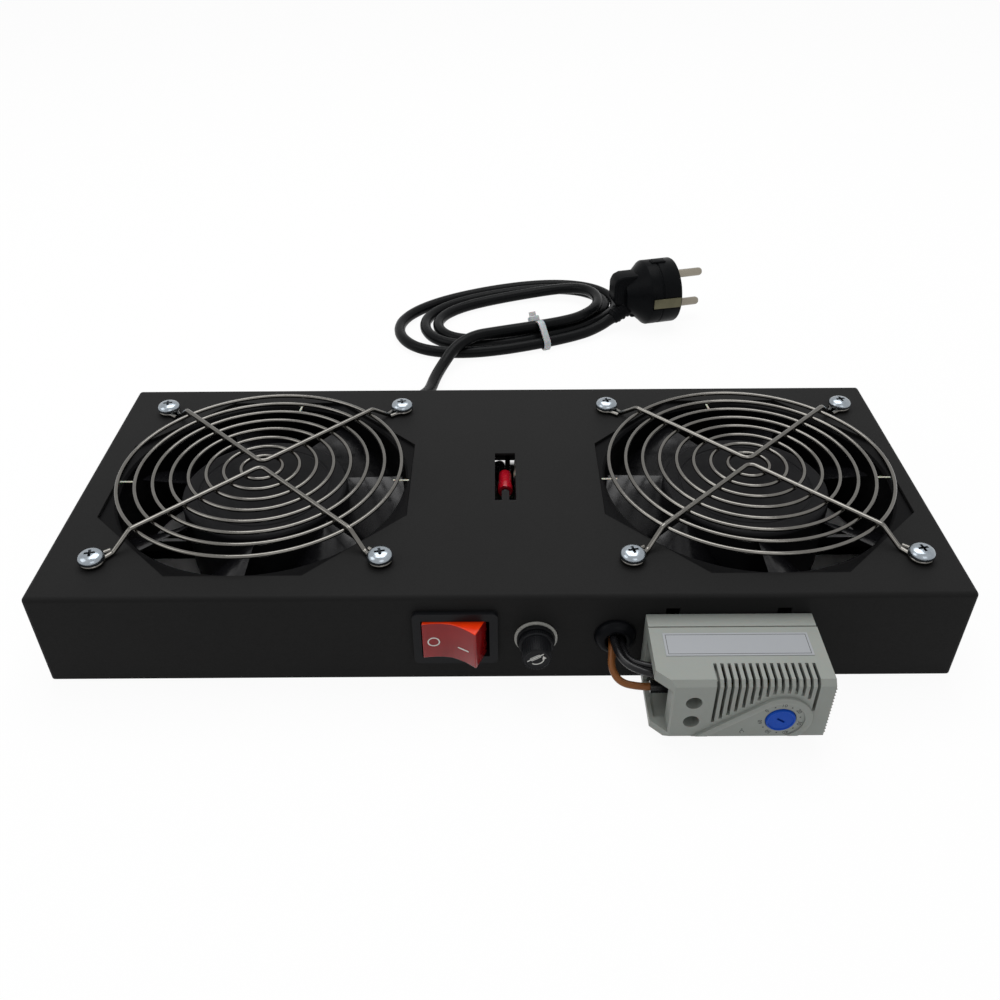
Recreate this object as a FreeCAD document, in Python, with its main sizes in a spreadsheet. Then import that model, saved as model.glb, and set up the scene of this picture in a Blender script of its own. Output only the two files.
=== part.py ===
import FreeCAD, Part
import math
import os
import re

import Sketcher
from FreeCAD import Placement, Rotation, Vector

# Rack fan tray: two mains fans under a folded steel plate, with a rocker switch, a fuse holder
# and a clip-on thermostat on the front flange and a coiled mains lead behind the rear flange.
# Millimetres, +Z up, +Y to the rear. The tray stands on its rims at z = 0, and the origin is the
# middle of the footprint of the tray with its thermostat.

SIZES = {
    # folded tray
    "side_margin": 9.75, "tray_d": 144.0, "tray_h": 40.0, "sheet": 1.2, "bend": 1.8,
    "side_hole_r": 3.25, "side_pitch": 96.0, "side_hole_z": 20.0,
    # fans
    "fan_gap": 77.5, "pair_x": 2.4, "fan_size": 119.5, "fan_depth": 38.0, "opening_gap": 0.5,
    "ear_t": 5.0, "ear_r": 7.0, "duct_inset": 0.55, "duct_wall": 1.6, "screw_inset": 14.5,
    "plate_r": 33.0, "plate_t": 3.0, "lip": 1.0, "strut_w": 7.0, "strut_t": 4.0, "running_gap": 0.03,
    "fit_gap": 0.02, "shaft_r": 2.5, "bearing_r": 5.0, "bearing_len": 7.0, "tube_wall": 2.4,
    "tube_top": 31.0, "lower_bearing_z": 6.0, "upper_bearing_z": 22.0, "well_z": 1.0,
    "hub_r": 33.5, "hub_wall": 1.7, "hub_top": 35.5, "hub_base": 6.0, "hub_lid": 2.0,
    "tip_gap": 1.2, "blade_t": 1.6, "blade_low": 8.0, "blade_high": 33.0, "blades": 7,
    "boss_r": 5.5, "boss_gap": 0.5, "root_chord": 24.0, "tip_chord": 37.0, "tip_drop": 2.5,
    "camber": 2.2, "blade_phase": 5.0, "rotor_wall": 4.2, "rotor_low": 7.0, "rotor_high": 29.0,
    "air_gap": 0.7, "stator_low": 9.0, "stator_high": 25.0, "slot_w": 9.0, "core_wall": 3.0,
    "coil_gap": 0.3, "coil_over": 3.5, "clip_t": 1.0, "clip_r": 4.2, "shaft_low": 2.5,
    "terminal_len": 7.0, "terminal_t": 0.8, "terminal_pitch": 8.0, "terminal_z": 15.0,
    # finger guards and their screws
    "ring_wire_r": 0.8, "spoke_wire_r": 0.95, "eye_wire_r": 1.0, "mate_gap": 0.8,
    "ring_first_r": 8.2, "guard_inset": 1.24, "rings": 8,
    "ring_lift": 5.8, "spoke_apex": 3.2, "weld_sink": 0.25, "eye_r": 3.9,
    "screw_r": 2.1, "screw_len": 9.0, "head_r": 4.8, "head_h": 3.0, "screw_gap": 0.1,
    # cable slot in the plate
    "slot_len": 33.0, "slot_across": 8.4, "slot_mid": 1.2, "tongue_w": 3.0, "tongue_len": 6.3,
    # rocker switch
    "switch_x": -16.1, "switch_z": 21.4, "bezel_w": 30.4, "bezel_h": 24.2, "bezel_t": 2.0,
    "window_w": 24.4, "window_h": 17.4, "box_w": 27.4, "box_h": 21.4, "box_deep": 22.0,
    "cut_gap": 0.3, "rocker_a": 10.0, "rocker_h": 16.8, "rocker_tilt": 16.0, "pivot_deep": 4.0,
    "corner_up": 8.07, "pivot_r": 1.5, "stub": 1.6, "well_deep": 15.0, "rocker_base": 4.0,
    "nub_w": 2.4, "nub_deep": 7.6, "bezel_corner": 2.0, "lamp_r": 1.9, "lamp_len": 12.0,
    "lamp_x": 4.2, "lamp_up": 1.2, "seesaw_deep": 9.0, "seesaw_len": 12.0, "seesaw_t": 0.8,
    "seesaw_w": 4.0, "seesaw_pin": 0.8, "seesaw_tilt": 8.0,
    "blade_tab": 6.3, "tab_t": 0.8, "tab_len": 9.0, "tab_pitch": 9.0,
    # fuse holder
    "fuse_x": 12.8, "fuse_z": 20.4, "fuse_body_r": 5.9, "fuse_ring_r": 6.9, "washer_r": 7.8,
    "washer_t": 0.8, "fuse_ring_t": 1.7, "cap_face_r": 5.3, "cap_root_r": 5.7, "cap_reach": 11.3,
    "fuse_deep": 26.0, "fuse_bore": 4.4, "fuse_floor": 2.0, "skirt_in": 4.0, "cap_bore": 2.75,
    "cap_lid": 3.0, "knurls": 36, "knurl_w": 0.5, "knurl_deep": 0.35, "knurl_len": 7.0,
    "fuse_nut_t": 3.0, "fuse_nut_flats": 15.0, "link_r": 2.6, "link_len": 20.0, "link_cap": 5.0,
    "glass_r": 2.3, "glass_wall": 0.6,
    # grommet and front leads
    "grommet_x": 41.3, "grommet_z": 21.2, "grommet_r": 7.6, "grommet_hole": 5.2, "grommet_bore": 3.7,
    "lead_r": 1.35, "fan_lead_r": 1.1, "splice_z": 30.2, "splice_red_y": 16.0,
    "splice_clear_y": 26.0, "splice_step": 6.75,
    # thermostat
    "unit_x": 80.9, "unit_w": 58.8, "unit_h": 27.8, "unit_z": 3.9, "unit_depth": 33.0,
    "unit_gap": 0.3, "base_t": 6.3, "cover_wall": 1.6, "edge_cut": 1.8, "corner_cut": 6.0,
    "clip_pitch": 39.5, "clip_slot_w": 5.0, "clip_slot_low": 5.0, "clip_slot_high": 34.0,
    "dial_r": 5.1, "dial_x": 13.3, "dial_z": 10.5, "dial_proud": 0.9, "dial_t": 3.4,
    "dial_gap": 0.2, "spindle_r": 2.0, "scale_r": 10.6, "scale_lift": 0.5,
    "vents": 15, "vent_pitch": 2.36, "vent_w": 1.1, "vent_top": 9.0, "vent_ring": 12.3,
    "vent_first": -9.4, "vent_last_low": 18.1, "access_r": 2.75, "access_in": 12.8,
    "upper_z": 18.3, "lower_z": 9.2, "terminal_w": 20.0, "clamp_w": 8.0, "clamp_l": 10.0,
    "clamp_h": 7.0, "clamp_gap": 1.8,
    "hook_w": 2.6, "hook_h": 8.0, "hook_lip": 3.0, "hook_t": 1.4, "hook_gap": 0.2,
    "label_w": 50.0, "label_d": 10.8, "label_t": 0.2, "label_in": 10.1, "strip_t": 0.6,
    # rear gland, earth stud and mains lead
    "cord_r": 3.25, "gland_x": -46.0, "gland_z": 15.0, "gland_hole": 6.0, "gland_out": 22.0,
    "collar_r": 7.6, "collar_t": 3.0, "boot_flange_r": 8.4, "boot_r": 6.4, "boot_tip_r": 4.3,
    "stud_x": -60.0, "stud_z": 27.0, "stud_r": 2.0, "stud_len": 8.0, "lug_r": 4.0, "lug_t": 0.8,
    "lug_len": 11.0, "lug_w": 5.0, "nut_flats": 7.0, "nut_t": 3.0,
    "coil_x": 7.5, "coil_y": 222.0, "coil_a": 74.0, "coil_b": 43.0, "coil_in_a": 44.0,
    "coil_in_b": 16.0, "coil_turn": 22.0, "coil_h": 13.0,
    "plug_x": 104.9, "plug_y": 226.8, "plug_r": 19.0, "plug_yaw": 14.0, "plug_len": 19.0,
    "pin_r": 2.4, "pin_len": 19.0, "pin_pitch": 19.0,
    "grip_t": 11.0, "grip_h": 27.0, "grip_len": 38.0, "grip_step": 27.0, "neck_len": 12.0, "neck_r": 10.0,
    "relief_r": 7.0, "relief_reach": 38.8, "relief_side": 5.2, "relief_z": 6.9,
    "relief_wall": 3.0, "earth_w": 6.0, "earth_t": 1.0,
    "tie_w": 4.6, "tie_t": 1.2, "tie_gap": 0.3, "tie_along": 5.0, "tie_head": 6.0,
}

# Lengths and places that follow from the sizes above, as expressions.
DERIVED = {
    "fan_pitch": "fan_size + fan_gap",
    "tray_w": "fan_pitch + fan_size + 2 * side_margin",
    "tray_y": "(unit_gap + unit_depth + dial_proud) / 2",
    "front_y": "tray_y - tray_d / 2",
    "rear_y": "tray_y + tray_d / 2",
    "under_z": "tray_h - sheet",
    "fan_z": "under_z - fan_depth",
    "frame_half": "fan_size / 2",
    "duct_r": "fan_size / 2 - duct_inset",
    "venturi_r": "duct_r - duct_wall",
    "screw_half": "(fan_size - screw_inset) / 2",
    "tube_r": "bearing_r + fit_gap",
    "tube_out": "tube_r + tube_wall",
    "hub_in": "hub_r - hub_wall",
    "rotor_out": "hub_in - fit_gap",
    "rotor_in": "rotor_out - rotor_wall",
    "stator_r": "rotor_in - air_gap",
    "stator_in": "tube_out + fit_gap",
    "tip_r": "venturi_r - tip_gap",
    "bezel_y": "front_y - bezel_t",
    "pivot_y": "bezel_y + pivot_deep",
    "unit_back": "front_y - unit_gap",
    "cover_back": "unit_back - base_t",
    "unit_front": "unit_back - unit_depth",
    "unit_left": "unit_x - unit_w / 2",
    "unit_right": "unit_x + unit_w / 2",
    "unit_top": "unit_z + unit_h",
    "slot_low_y": "tray_y + slot_mid - slot_len / 2",
    "slot_high_y": "tray_y + slot_mid + slot_len / 2",
    "octagon": "(fan_size + opening_gap) / 2",
    "octagon_k": "octagon * tan(22.5 deg)",
    "dial_at_x": "unit_x + dial_x",
    "dial_at_z": "unit_z + dial_z",
}

TURN = {
    "z": Rotation(),
    "-z": Rotation(Vector(1, 0, 0), 180),
    "y": Rotation(Vector(1, 0, 0), -90),
    "-y": Rotation(Vector(1, 0, 0), 90),
    "x": Rotation(Vector(0, 1, 0), 90),
    "-x": Rotation(Vector(0, 1, 0), -90),
}

doc = FreeCAD.newDocument("RackFanTray")
sheet = doc.addObject("Spreadsheet::Sheet", "Sizes")
for row, (alias, number) in enumerate(SIZES.items(), start=1):
    sheet.set(f"A{row}", alias)
    sheet.set(f"B{row}", str(number))
    sheet.setAlias(f"B{row}", alias)
doc.recompute()
nodes = []


def bound(text):
    """Expression with each size pointed at the sheet and each derived name written out."""
    def swap(match):
        word = match.group(0)
        if word in DERIVED:
            return "(" + bound(DERIVED[word]) + ")"
        return "Sizes." + word if word in SIZES else word
    return re.sub(r"[a-z][a-z_]+", swap, text)


def bind(item, **sizes):
    """Bind properties of a document object to expressions."""
    for name, text in sizes.items():
        item.setExpression(name, bound(text))
    return item


def place(item, at=("0", "0", "0"), turn=Rotation()):
    """Turn a document object and bind its place."""
    item.Placement = Placement(Vector(), turn)
    for axis, text in zip("xyz", at):
        item.setExpression(f"Placement.Base.{axis}", bound(text))
    return item


def box(name, length, width, height, at, turn=Rotation()):
    """Box with its low corner at a place."""
    item = doc.addObject("Part::Box", name)
    return place(bind(item, Length=length, Width=width, Height=height), at, turn)


def rod(name, radius, length, at, axis="z"):
    """Cylinder from a place along an axis."""
    item = doc.addObject("Part::Cylinder", name)
    return place(bind(item, Radius=radius, Height=length), at, TURN[axis])


def cone(name, radius, end_radius, length, at, axis="z"):
    """Cone from a place along an axis."""
    item = doc.addObject("Part::Cone", name)
    return place(bind(item, Radius1=radius, Radius2=end_radius, Height=length), at, TURN[axis])


def joined(name, items):
    """One solid made of several that meet."""
    item = doc.addObject("Part::MultiFuse", name)
    item.Shapes = items
    return item


def without(name, base, tools):
    """A solid less others."""
    item = doc.addObject("Part::Cut", name)
    item.Base = base
    item.Tool = tools[0] if len(tools) == 1 else joined(name + "_cuts", tools)
    return item


def ring(name, outer, inner, length, at, axis="z"):
    """Tube or washer with its hole right through."""
    hole = rod(name + "_hole", inner, length, at, axis)
    return without(name, rod(name + "_disc", outer, length, at, axis), [hole])


def group(name, items):
    """Separate solids that share a node."""
    item = doc.addObject("Part::Compound", name)
    item.Links = items
    return item


def node(item, label):
    """Keep a document object as a sub-part under its label."""
    item.Label = label
    nodes.append(item)
    return item


def shaped(label, shape, at=("0", "0", "0"), turn=Rotation()):
    """Sub-part whose shape is built here from the sheet's sizes."""
    item = doc.addObject("Part::Feature", label)
    item.Shape = shape
    return node(place(item, at, turn), label)


def size(name):
    """A size as the sheet holds it."""
    return float(getattr(sheet, name))


class Body:
    """PartDesign body whose sketches are bound to the sheet."""

    def __init__(self, name, at=("0", "0", "0"), turn=Rotation()):
        self.name = name
        self.body = place(doc.addObject("PartDesign::Body", name), at, turn)
        self.count = 0

    def _name(self, kind):
        self.count += 1
        return f"{self.name}_{kind}{self.count}"

    def sketch(self, plane, lift="0"):
        """Sketch on one of the body's own planes, lifted along its normal."""
        item = self.body.newObject("Sketcher::SketchObject", self._name("sketch"))
        origin = [part for part in self.body.Origin.OriginFeatures if part.Role == plane + "_Plane"]
        item.AttachmentSupport = (origin[0], [""])
        item.MapMode = "FlatFace"
        item.setExpression("AttachmentOffset.Base.z", bound(lift))
        return item

    def _feature(self, kind, sketch, **sizes):
        item = self.body.newObject("PartDesign::" + kind, self._name(kind.lower()))
        item.Profile = sketch
        sketch.Visibility = False
        return bind(item, **sizes)

    def pad(self, sketch, length, back=False):
        """Pad along the sketch's normal, or against it."""
        item = self._feature("Pad", sketch, Length=length)
        item.Reversed = back
        return item

    def pocket(self, sketch, length, back=False):
        """Pocket against the sketch's normal, or along it."""
        item = self._feature("Pocket", sketch, Length=length)
        item.Reversed = back
        return item

    def turned(self, sketch, kind="Revolution"):
        """Full turn, added or cut, about the sketch's upright axis."""
        item = self._feature(kind, sketch)
        item.ReferenceAxis = (sketch, ["V_Axis"])
        item.Angle = 360.0
        return item

    def dressed(self, kind, amount, test):
        """Fillet or Chamfer of the tip's edges that a test picks."""
        doc.recompute()
        tip = self.body.Tip
        picked = [f"Edge{i}" for i, edge in enumerate(tip.Shape.Edges, start=1) if test(edge)]
        item = self.body.newObject("PartDesign::" + kind, self._name(kind.lower()))
        item.Base = (tip, picked)
        return bind(item, **{"Radius" if kind == "Fillet" else "Size": amount})

    def polar(self, features, count):
        """Features repeated round the body's upright axis."""
        item = self.body.newObject("PartDesign::PolarPattern", self._name("polar"))
        item.Originals = features
        axis = [part for part in self.body.Origin.OriginFeatures if part.Role == "Z_Axis"]
        item.Axis = (axis[0], [""])
        item.Angle = 360.0
        bind(item, Occurrences=count)
        self.body.Tip = item
        return item

    def keep(self, label):
        """Keep the body as a sub-part."""
        return node(self.body, label)


def fix(sketch, geometry, point, x, y):
    """Hold one point of a sketch at a bound place."""
    for kind, text in (("DistanceX", x), ("DistanceY", y)):
        index = sketch.addConstraint(Sketcher.Constraint(kind, -1, 1, geometry, point, 1.0))
        sketch.setExpression(f"Constraints[{index}]", bound(text))


def outline(sketch, points):
    """Closed outline of straight lines through bound points."""
    count = len(points)
    seeds = [Vector(math.cos(math.tau * i / count), math.sin(math.tau * i / count), 0) * 50
             for i in range(count)]
    first = sketch.GeometryCount
    lines = [Part.LineSegment(seeds[i], seeds[(i + 1) % count]) for i in range(count)]
    sketch.addGeometry(lines, False)
    for i in range(count):
        joint = Sketcher.Constraint("Coincident", first + i, 2, first + (i + 1) % count, 1)
        sketch.addConstraint(joint)
    for i, (x, y) in enumerate(points):
        fix(sketch, first + i, 1, x, y)
    return sketch


def rectangle(sketch, left, right, low, high):
    """Closed rectangle between bound sides."""
    return outline(sketch, [(left, low), (right, low), (right, high), (left, high)])


def circle(sketch, x, y, radius):
    """Circle with a bound centre and radius."""
    index = sketch.addGeometry(Part.Circle(Vector(5, 5, 0), Vector(0, 0, 1), 2.0), False)
    fix(sketch, index, 3, x, y)
    held = sketch.addConstraint(Sketcher.Constraint("Radius", index, 2.0))
    sketch.setExpression(f"Constraints[{held}]", bound(radius))
    return sketch


def band(sketch, inner, outer):
    """Space between two circles about the sketch's middle."""
    return circle(circle(sketch, "0", "0", inner), "0", "0", outer)


def upright(edge):
    """Whether an edge is a straight line along Z."""
    spread = edge.BoundBox
    return spread.XLength < 1e-6 and spread.YLength < 1e-6


# Folded tray -------------------------------------------------------------------------------

tray = Body("tray_shell")
tray.pad(rectangle(tray.sketch("XY"), "-tray_w / 2", "tray_w / 2", "front_y", "rear_y"), "tray_h")
plate_top = size("tray_h")
tray.dressed("Fillet", "bend", lambda e: upright(e) or e.BoundBox.ZMin > plate_top - 1e-6)
inside = rectangle(tray.sketch("XY"), "sheet - tray_w / 2", "tray_w / 2 - sheet",
                   "front_y + sheet", "rear_y - sheet")
tray.pocket(inside, "under_z", back=True)

plate_cuts = tray.sketch("XY", "tray_h")
FANS = {"left": "-1", "right": "1"}
for side, sign in FANS.items():
    centre_x = f"pair_x + ({sign}) * fan_pitch / 2"
    corners = [("octagon_k", "octagon"), ("-octagon_k", "octagon"), ("-octagon", "octagon_k"),
               ("-octagon", "-octagon_k"), ("-octagon_k", "-octagon"), ("octagon_k", "-octagon"),
               ("octagon", "-octagon_k"), ("octagon", "octagon_k")]
    outline(plate_cuts, [(f"{centre_x} + ({x})", f"tray_y + ({y})") for x, y in corners])
    for across, along in ((-1, -1), (1, -1), (1, 1), (-1, 1)):
        circle(plate_cuts, f"{centre_x} + ({across}) * screw_half",
               f"tray_y + ({along}) * screw_half", "screw_r + screw_gap")
outline(plate_cuts, [
    ("pair_x - slot_across / 2", "slot_low_y"), ("pair_x - tongue_w / 2", "slot_low_y"),
    ("pair_x - tongue_w / 2", "slot_low_y + tongue_len"),
    ("pair_x + tongue_w / 2", "slot_low_y + tongue_len"),
    ("pair_x + tongue_w / 2", "slot_low_y"), ("pair_x + slot_across / 2", "slot_low_y"),
    ("pair_x + slot_across / 2", "slot_high_y"), ("pair_x - slot_across / 2", "slot_high_y")])
tray.pocket(plate_cuts, "sheet * 2")

front_cuts = tray.sketch("XZ", "-front_y")
rectangle(front_cuts, "switch_x - box_w / 2 - cut_gap", "switch_x + box_w / 2 + cut_gap",
          "switch_z - box_h / 2 - cut_gap", "switch_z + box_h / 2 + cut_gap")
circle(front_cuts, "fuse_x", "fuse_z", "fuse_body_r + screw_gap")
circle(front_cuts, "grommet_x", "grommet_z", "grommet_hole")
for sign in FANS.values():
    slot_x = f"unit_x + ({sign}) * clip_pitch / 2"
    rectangle(front_cuts, f"{slot_x} - clip_slot_w / 2", f"{slot_x} + clip_slot_w / 2",
              "clip_slot_low", "clip_slot_high")
tray.pocket(front_cuts, "sheet * 2")
rear_cuts = tray.sketch("XZ", "-rear_y")
circle(rear_cuts, "gland_x", "gland_z", "gland_hole")
tray.pocket(rear_cuts, "sheet * 2", back=True)
side_cuts = tray.sketch("YZ", "tray_w / 2")
for sign in FANS.values():
    circle(side_cuts, f"tray_y + ({sign}) * side_pitch / 2", "side_hole_z", "side_hole_r")
tray.pocket(side_cuts, "tray_w")
stud = circle(tray.sketch("XZ", "sheet - rear_y"), "stud_x", "stud_z", "stud_r")
tray.pad(stud, "stud_len")
tray.keep("tray_shell")


# Fans ----------------------------------------------------------------------------------------

def fan_frame(side, at):
    """Square cast frame with a round duct, and the spider that holds the motor in it."""
    frame = Body(f"fan_{side}_frame", at)
    frame.pad(rectangle(frame.sketch("XY"), "-frame_half", "frame_half", "-frame_half",
                        "frame_half"), "fan_depth")
    frame.dressed("Fillet", "ear_r", upright)
    waist = frame.sketch("XY", "ear_t")
    rectangle(waist, "-fan_size", "fan_size", "-fan_size", "fan_size")
    frame.pocket(circle(waist, "0", "0", "duct_r"), "fan_depth - 2 * ear_t", back=True)
    frame.pocket(circle(frame.sketch("XY"), "0", "0", "venturi_r"), "fan_depth", back=True)
    top = size("fan_depth")
    bore = size("fan_size") / 2 - size("duct_inset") - size("duct_wall")
    frame.dressed("Chamfer", "lip", lambda e: e.BoundBox.ZMin > top - 1e-6
                  and abs(e.BoundBox.XLength - 2 * bore) < 1e-3)
    holes = frame.sketch("XY")
    for across, along in ((-1, -1), (1, -1), (1, 1), (-1, 1)):
        circle(holes, f"({across}) * screw_half", f"({along}) * screw_half",
               "screw_r + screw_gap")
    frame.pocket(holes, "fan_depth", back=True)
    frame.keep(f"fan_{side}_frame")
    spider = Body(f"fan_{side}_spider", at)
    spider.pad(circle(spider.sketch("XY"), "0", "0", "plate_r"), "plate_t")
    reach = "venturi_r - fit_gap"
    for across, along in ((reach, "strut_w / 2"), ("strut_w / 2", reach)):
        strut = spider.sketch("XY")
        spider.pad(rectangle(strut, f"-({across})", across, f"-({along})", along), "strut_t")
    spider.pocket(band(spider.sketch("XY"), reach, "fan_size"), "strut_t", back=True)
    spider.pad(circle(spider.sketch("XY"), "0", "0", "tube_out"), "tube_top")
    spider.pocket(circle(spider.sketch("XY", "tube_top"), "0", "0", "tube_r"),
                  "tube_top - well_z")
    spider.keep(f"fan_{side}_spider")


def impeller(side, at, hand):
    """Hub cup with its boss and pitched blades, trimmed to the duct."""
    rest = Rotation(Vector(0, 0, 1), 90 - int(hand) * (90 + size("blade_phase")))
    wheel = Body(f"fan_{side}_impeller", at, rest)
    boss_low = "tube_top + boss_gap"
    lid = "hub_top - hub_lid"
    blind = "hub_top - hub_lid / 2"
    hole = "shaft_r + fit_gap"
    wheel.turned(outline(wheel.sketch("XZ"), [
        ("0", blind), (hole, blind), (hole, boss_low), ("boss_r", boss_low), ("boss_r", lid),
        ("hub_in", lid), ("hub_in", "hub_base"), ("hub_r", "hub_base"), ("hub_r", "hub_top"),
        ("0", "hub_top")]))
    rim, crown = size("hub_r"), size("hub_top")
    wheel.dressed("Fillet", "hub_lid * 0.9", lambda e: e.BoundBox.ZMin > crown - 1e-6
                  and abs(e.BoundBox.XLength - 2 * rim) < 1e-3)
    sections = []
    for lift, chord, drop in (("hub_r - hub_wall / 2", "root_chord", "0"),
                              ("venturi_r", "tip_chord", "tip_drop")):
        edge = f"({hand}) * {chord} / 2"
        high, low = f"blade_high - {drop}", f"blade_low + {drop}"
        middle = "(blade_high + blade_low) / 2 + camber"
        sections.append(outline(wheel.sketch("YZ", lift), [
            (edge, high), ("0", f"{middle} + blade_t / 2"), (f"-({edge})", low),
            (f"-({edge})", f"{low} - blade_t / 2"), ("0", f"{middle} - blade_t / 2"),
            (edge, f"{high} - blade_t / 2")]))
    blade = wheel.body.newObject("PartDesign::AdditiveLoft", wheel._name("blade"))
    blade.Profile = sections[0]
    blade.Sections = [sections[1]]
    blade.Ruled = True
    wheel.polar([blade], "blades")
    wheel.turned(rectangle(wheel.sketch("XZ"), "tip_r", "tip_r + tip_chord / 2", "0",
                           "fan_depth"), "Groove")
    wheel.keep(f"fan_{side}_impeller")


def stator(side, at):
    """Laminated core with four slots, and the four windings that fill them."""
    core = Body(f"core_{side}", at)
    stack = core.sketch("XY", "stator_low")
    circle(stack, "0", "0", "stator_r")
    core.pad(circle(stack, "0", "0", "stator_in"), "stator_high - stator_low")
    near, far = "stator_in + core_wall", "stator_r - core_wall"
    opening = rectangle(core.sketch("XY", "stator_high"), near, far, "-slot_w / 2", "slot_w / 2")
    core.polar([core.pocket(opening, "stator_high - stator_low")], "4")
    cores.append(core.body)
    x, y, z = at
    low = f"{z} + stator_low - coil_over"
    tall = "stator_high - stator_low + 2 * coil_over"
    thick, deep = "slot_w - 2 * coil_gap", f"{far} - ({near}) - 2 * coil_gap"
    start, half = f"{near} + coil_gap", f"({thick}) / 2"
    windings.extend([
        box(f"coil_{side}_1", deep, thick, tall, (f"{x} + {start}", f"{y} - {half}", low)),
        box(f"coil_{side}_2", deep, thick, tall, (f"{x} - ({far}) + coil_gap", f"{y} - {half}", low)),
        box(f"coil_{side}_3", thick, deep, tall, (f"{x} - {half}", f"{y} + {start}", low)),
        box(f"coil_{side}_4", thick, deep, tall, (f"{x} - {half}", f"{y} - ({far}) + coil_gap", low))])


def fan_drive(side, at, inward):
    """Rotor ring, shaft, bearings, retaining clip and lead tabs of one fan."""
    x, y, z = at
    node(ring(f"rotor_{side}", "rotor_out", "rotor_in", "rotor_high - rotor_low",
              (x, y, f"{z} + rotor_low")), f"fan_{side}_rotor_ring")
    node(rod(f"shaft_{side}", "shaft_r", "hub_top - hub_lid / 2 - fit_gap - shaft_low",
             (x, y, f"{z} + shaft_low")), f"fan_{side}_shaft")
    bearings = [ring(f"bearing_{side}_{low}", "bearing_r", "shaft_r + running_gap", "bearing_len",
                     (x, y, f"{z} + {low}")) for low in ("lower_bearing_z", "upper_bearing_z")]
    node(group(f"bearings_{side}", bearings), f"fan_{side}_bearings")
    node(ring(f"clip_{side}", "clip_r", "shaft_r + fit_gap", "clip_t",
              (x, y, f"{z} + lower_bearing_z - clip_t - coil_gap")), f"fan_{side}_retaining_clip")
    start = "duct_r" if inward == "1" else "-duct_r - terminal_len"
    tabs = [box(f"tab_{side}_{row}", "terminal_len", "terminal_t", "terminal_t * 4",
                (f"{x} + {start}", f"{y} + ({row}) * terminal_pitch / 2", f"{z} + terminal_z"))
            for row in (-1, 1)]
    fan_tabs.extend(tabs)


def route(points, radii):
    """Straight runs between points, joined by arcs that touch both runs."""
    edges = []
    start = points[0]
    for before, corner, after, radius in zip(points, points[1:], points[2:], radii):
        back = (before - corner).normalize()
        ahead = (after - corner).normalize()
        half = back.getAngle(ahead) / 2
        reach = radius / math.tan(half)
        middle = (back + ahead).normalize() * (radius / math.sin(half) - radius)
        edges.append(Part.LineSegment(start, corner + back * reach).toShape())
        arc = Part.Arc(corner + back * reach, corner + middle, corner + ahead * reach)
        edges.append(arc.toShape())
        start = corner + ahead * reach
    edges.append(Part.LineSegment(start, points[-1]).toShape())
    return Part.Wire(edges)


def pipe(path, radius):
    """Round rod along a path."""
    first = path.Edges[0]
    profile = Part.Wire(Part.makeCircle(radius, first.valueAt(first.FirstParameter),
                                        first.tangentAt(first.FirstParameter)))
    return path.makePipeShell([profile], True, False)


def guard_shape():
    """Concentric wire rings on two bent spoke wires that end in eyes round the screws."""
    thin, thick = size("ring_wire_r"), size("spoke_wire_r")
    lift = size("ring_lift")
    half = size("fan_size") / 2
    first, count = size("ring_first_r"), int(size("rings"))
    last = half - size("duct_inset") - size("duct_wall") - size("guard_inset")
    step = (last - first) / (count - 1)
    wires = [Part.makeTorus(first + step * i, thin, Vector(0, 0, lift)) for i in range(count)]
    half -= size("screw_inset") / 2
    high = lift + thin + thick - size("weld_sink")
    rise_in = (last + 2 * thick) / math.sqrt(2)
    rise_out = rise_in + high * 0.8
    apex = size("spoke_apex") - 2 * thick
    beside = size("mate_gap")
    eye = size("eye_r")
    for way in (1, -1):
        ends = []
        for across in (1, -1):
            eye_wire = size("eye_wire_r")
            middle = Vector(across * half, way * half, 0)
            wires.append(Part.makeTorus(eye, eye_wire, middle + Vector(0, 0, eye_wire)))
            centre = middle + Vector(0, 0, thick)
            inward = Vector(-across, -way, 0).normalize()
            edge = Vector(-way, across, 0).normalize() * thick * across * way
            root = centre + inward * eye + edge
            foot = Vector(across * rise_out, way * rise_out, thick) + edge
            head = Vector(across * rise_in, way * rise_in, high) + edge
            ends.append([root, foot, head])
            mate = centre + inward * eye - edge * beside
            tail = Vector(across * rise_out, way * rise_out, thick) - edge * beside
            wires.append(pipe(Part.Wire(Part.LineSegment(mate, tail).toShape()), thick))
        points = ends[0] + [Vector(0, way * apex, high)] + ends[1][::-1]
        bend = 2.5 * thick
        wires.append(pipe(route(points, [bend, bend, 2 * bend, bend, bend]), thick))
    return wires[0].multiFuse(wires[1:])


def pan_screw(name, x, y):
    """Cross-recess pan-head screw through a guard eye, the plate and the frame's ear."""
    seat = "tray_h + eye_wire_r * 2"
    shank = rod(name + "_shank", "screw_r", "screw_len + head_h / 3",
                (x, y, f"{seat} - screw_len"))
    rim = rod(name + "_rim", "head_r", "head_h / 3", (x, y, seat))
    crown = cone(name + "_crown", "head_r", "head_r * 0.6", "head_h * 2 / 3",
                 (x, y, f"{seat} + head_h / 3"))
    arm, width, deep = "head_r * 0.9", "head_h / 3", "head_h / 2"
    top = f"{seat} + head_h - {deep}"
    cross = [
        box(name + "_cross_x", arm, width, "head_h",
            (f"{x} - ({arm}) / 2", f"{y} - ({width}) / 2", top)),
        box(name + "_cross_y", width, arm, "head_h",
            (f"{x} - ({width}) / 2", f"{y} - ({arm}) / 2", top))]
    return without(name, joined(name + "_solid", [shank, rim, crown]), cross)


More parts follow.
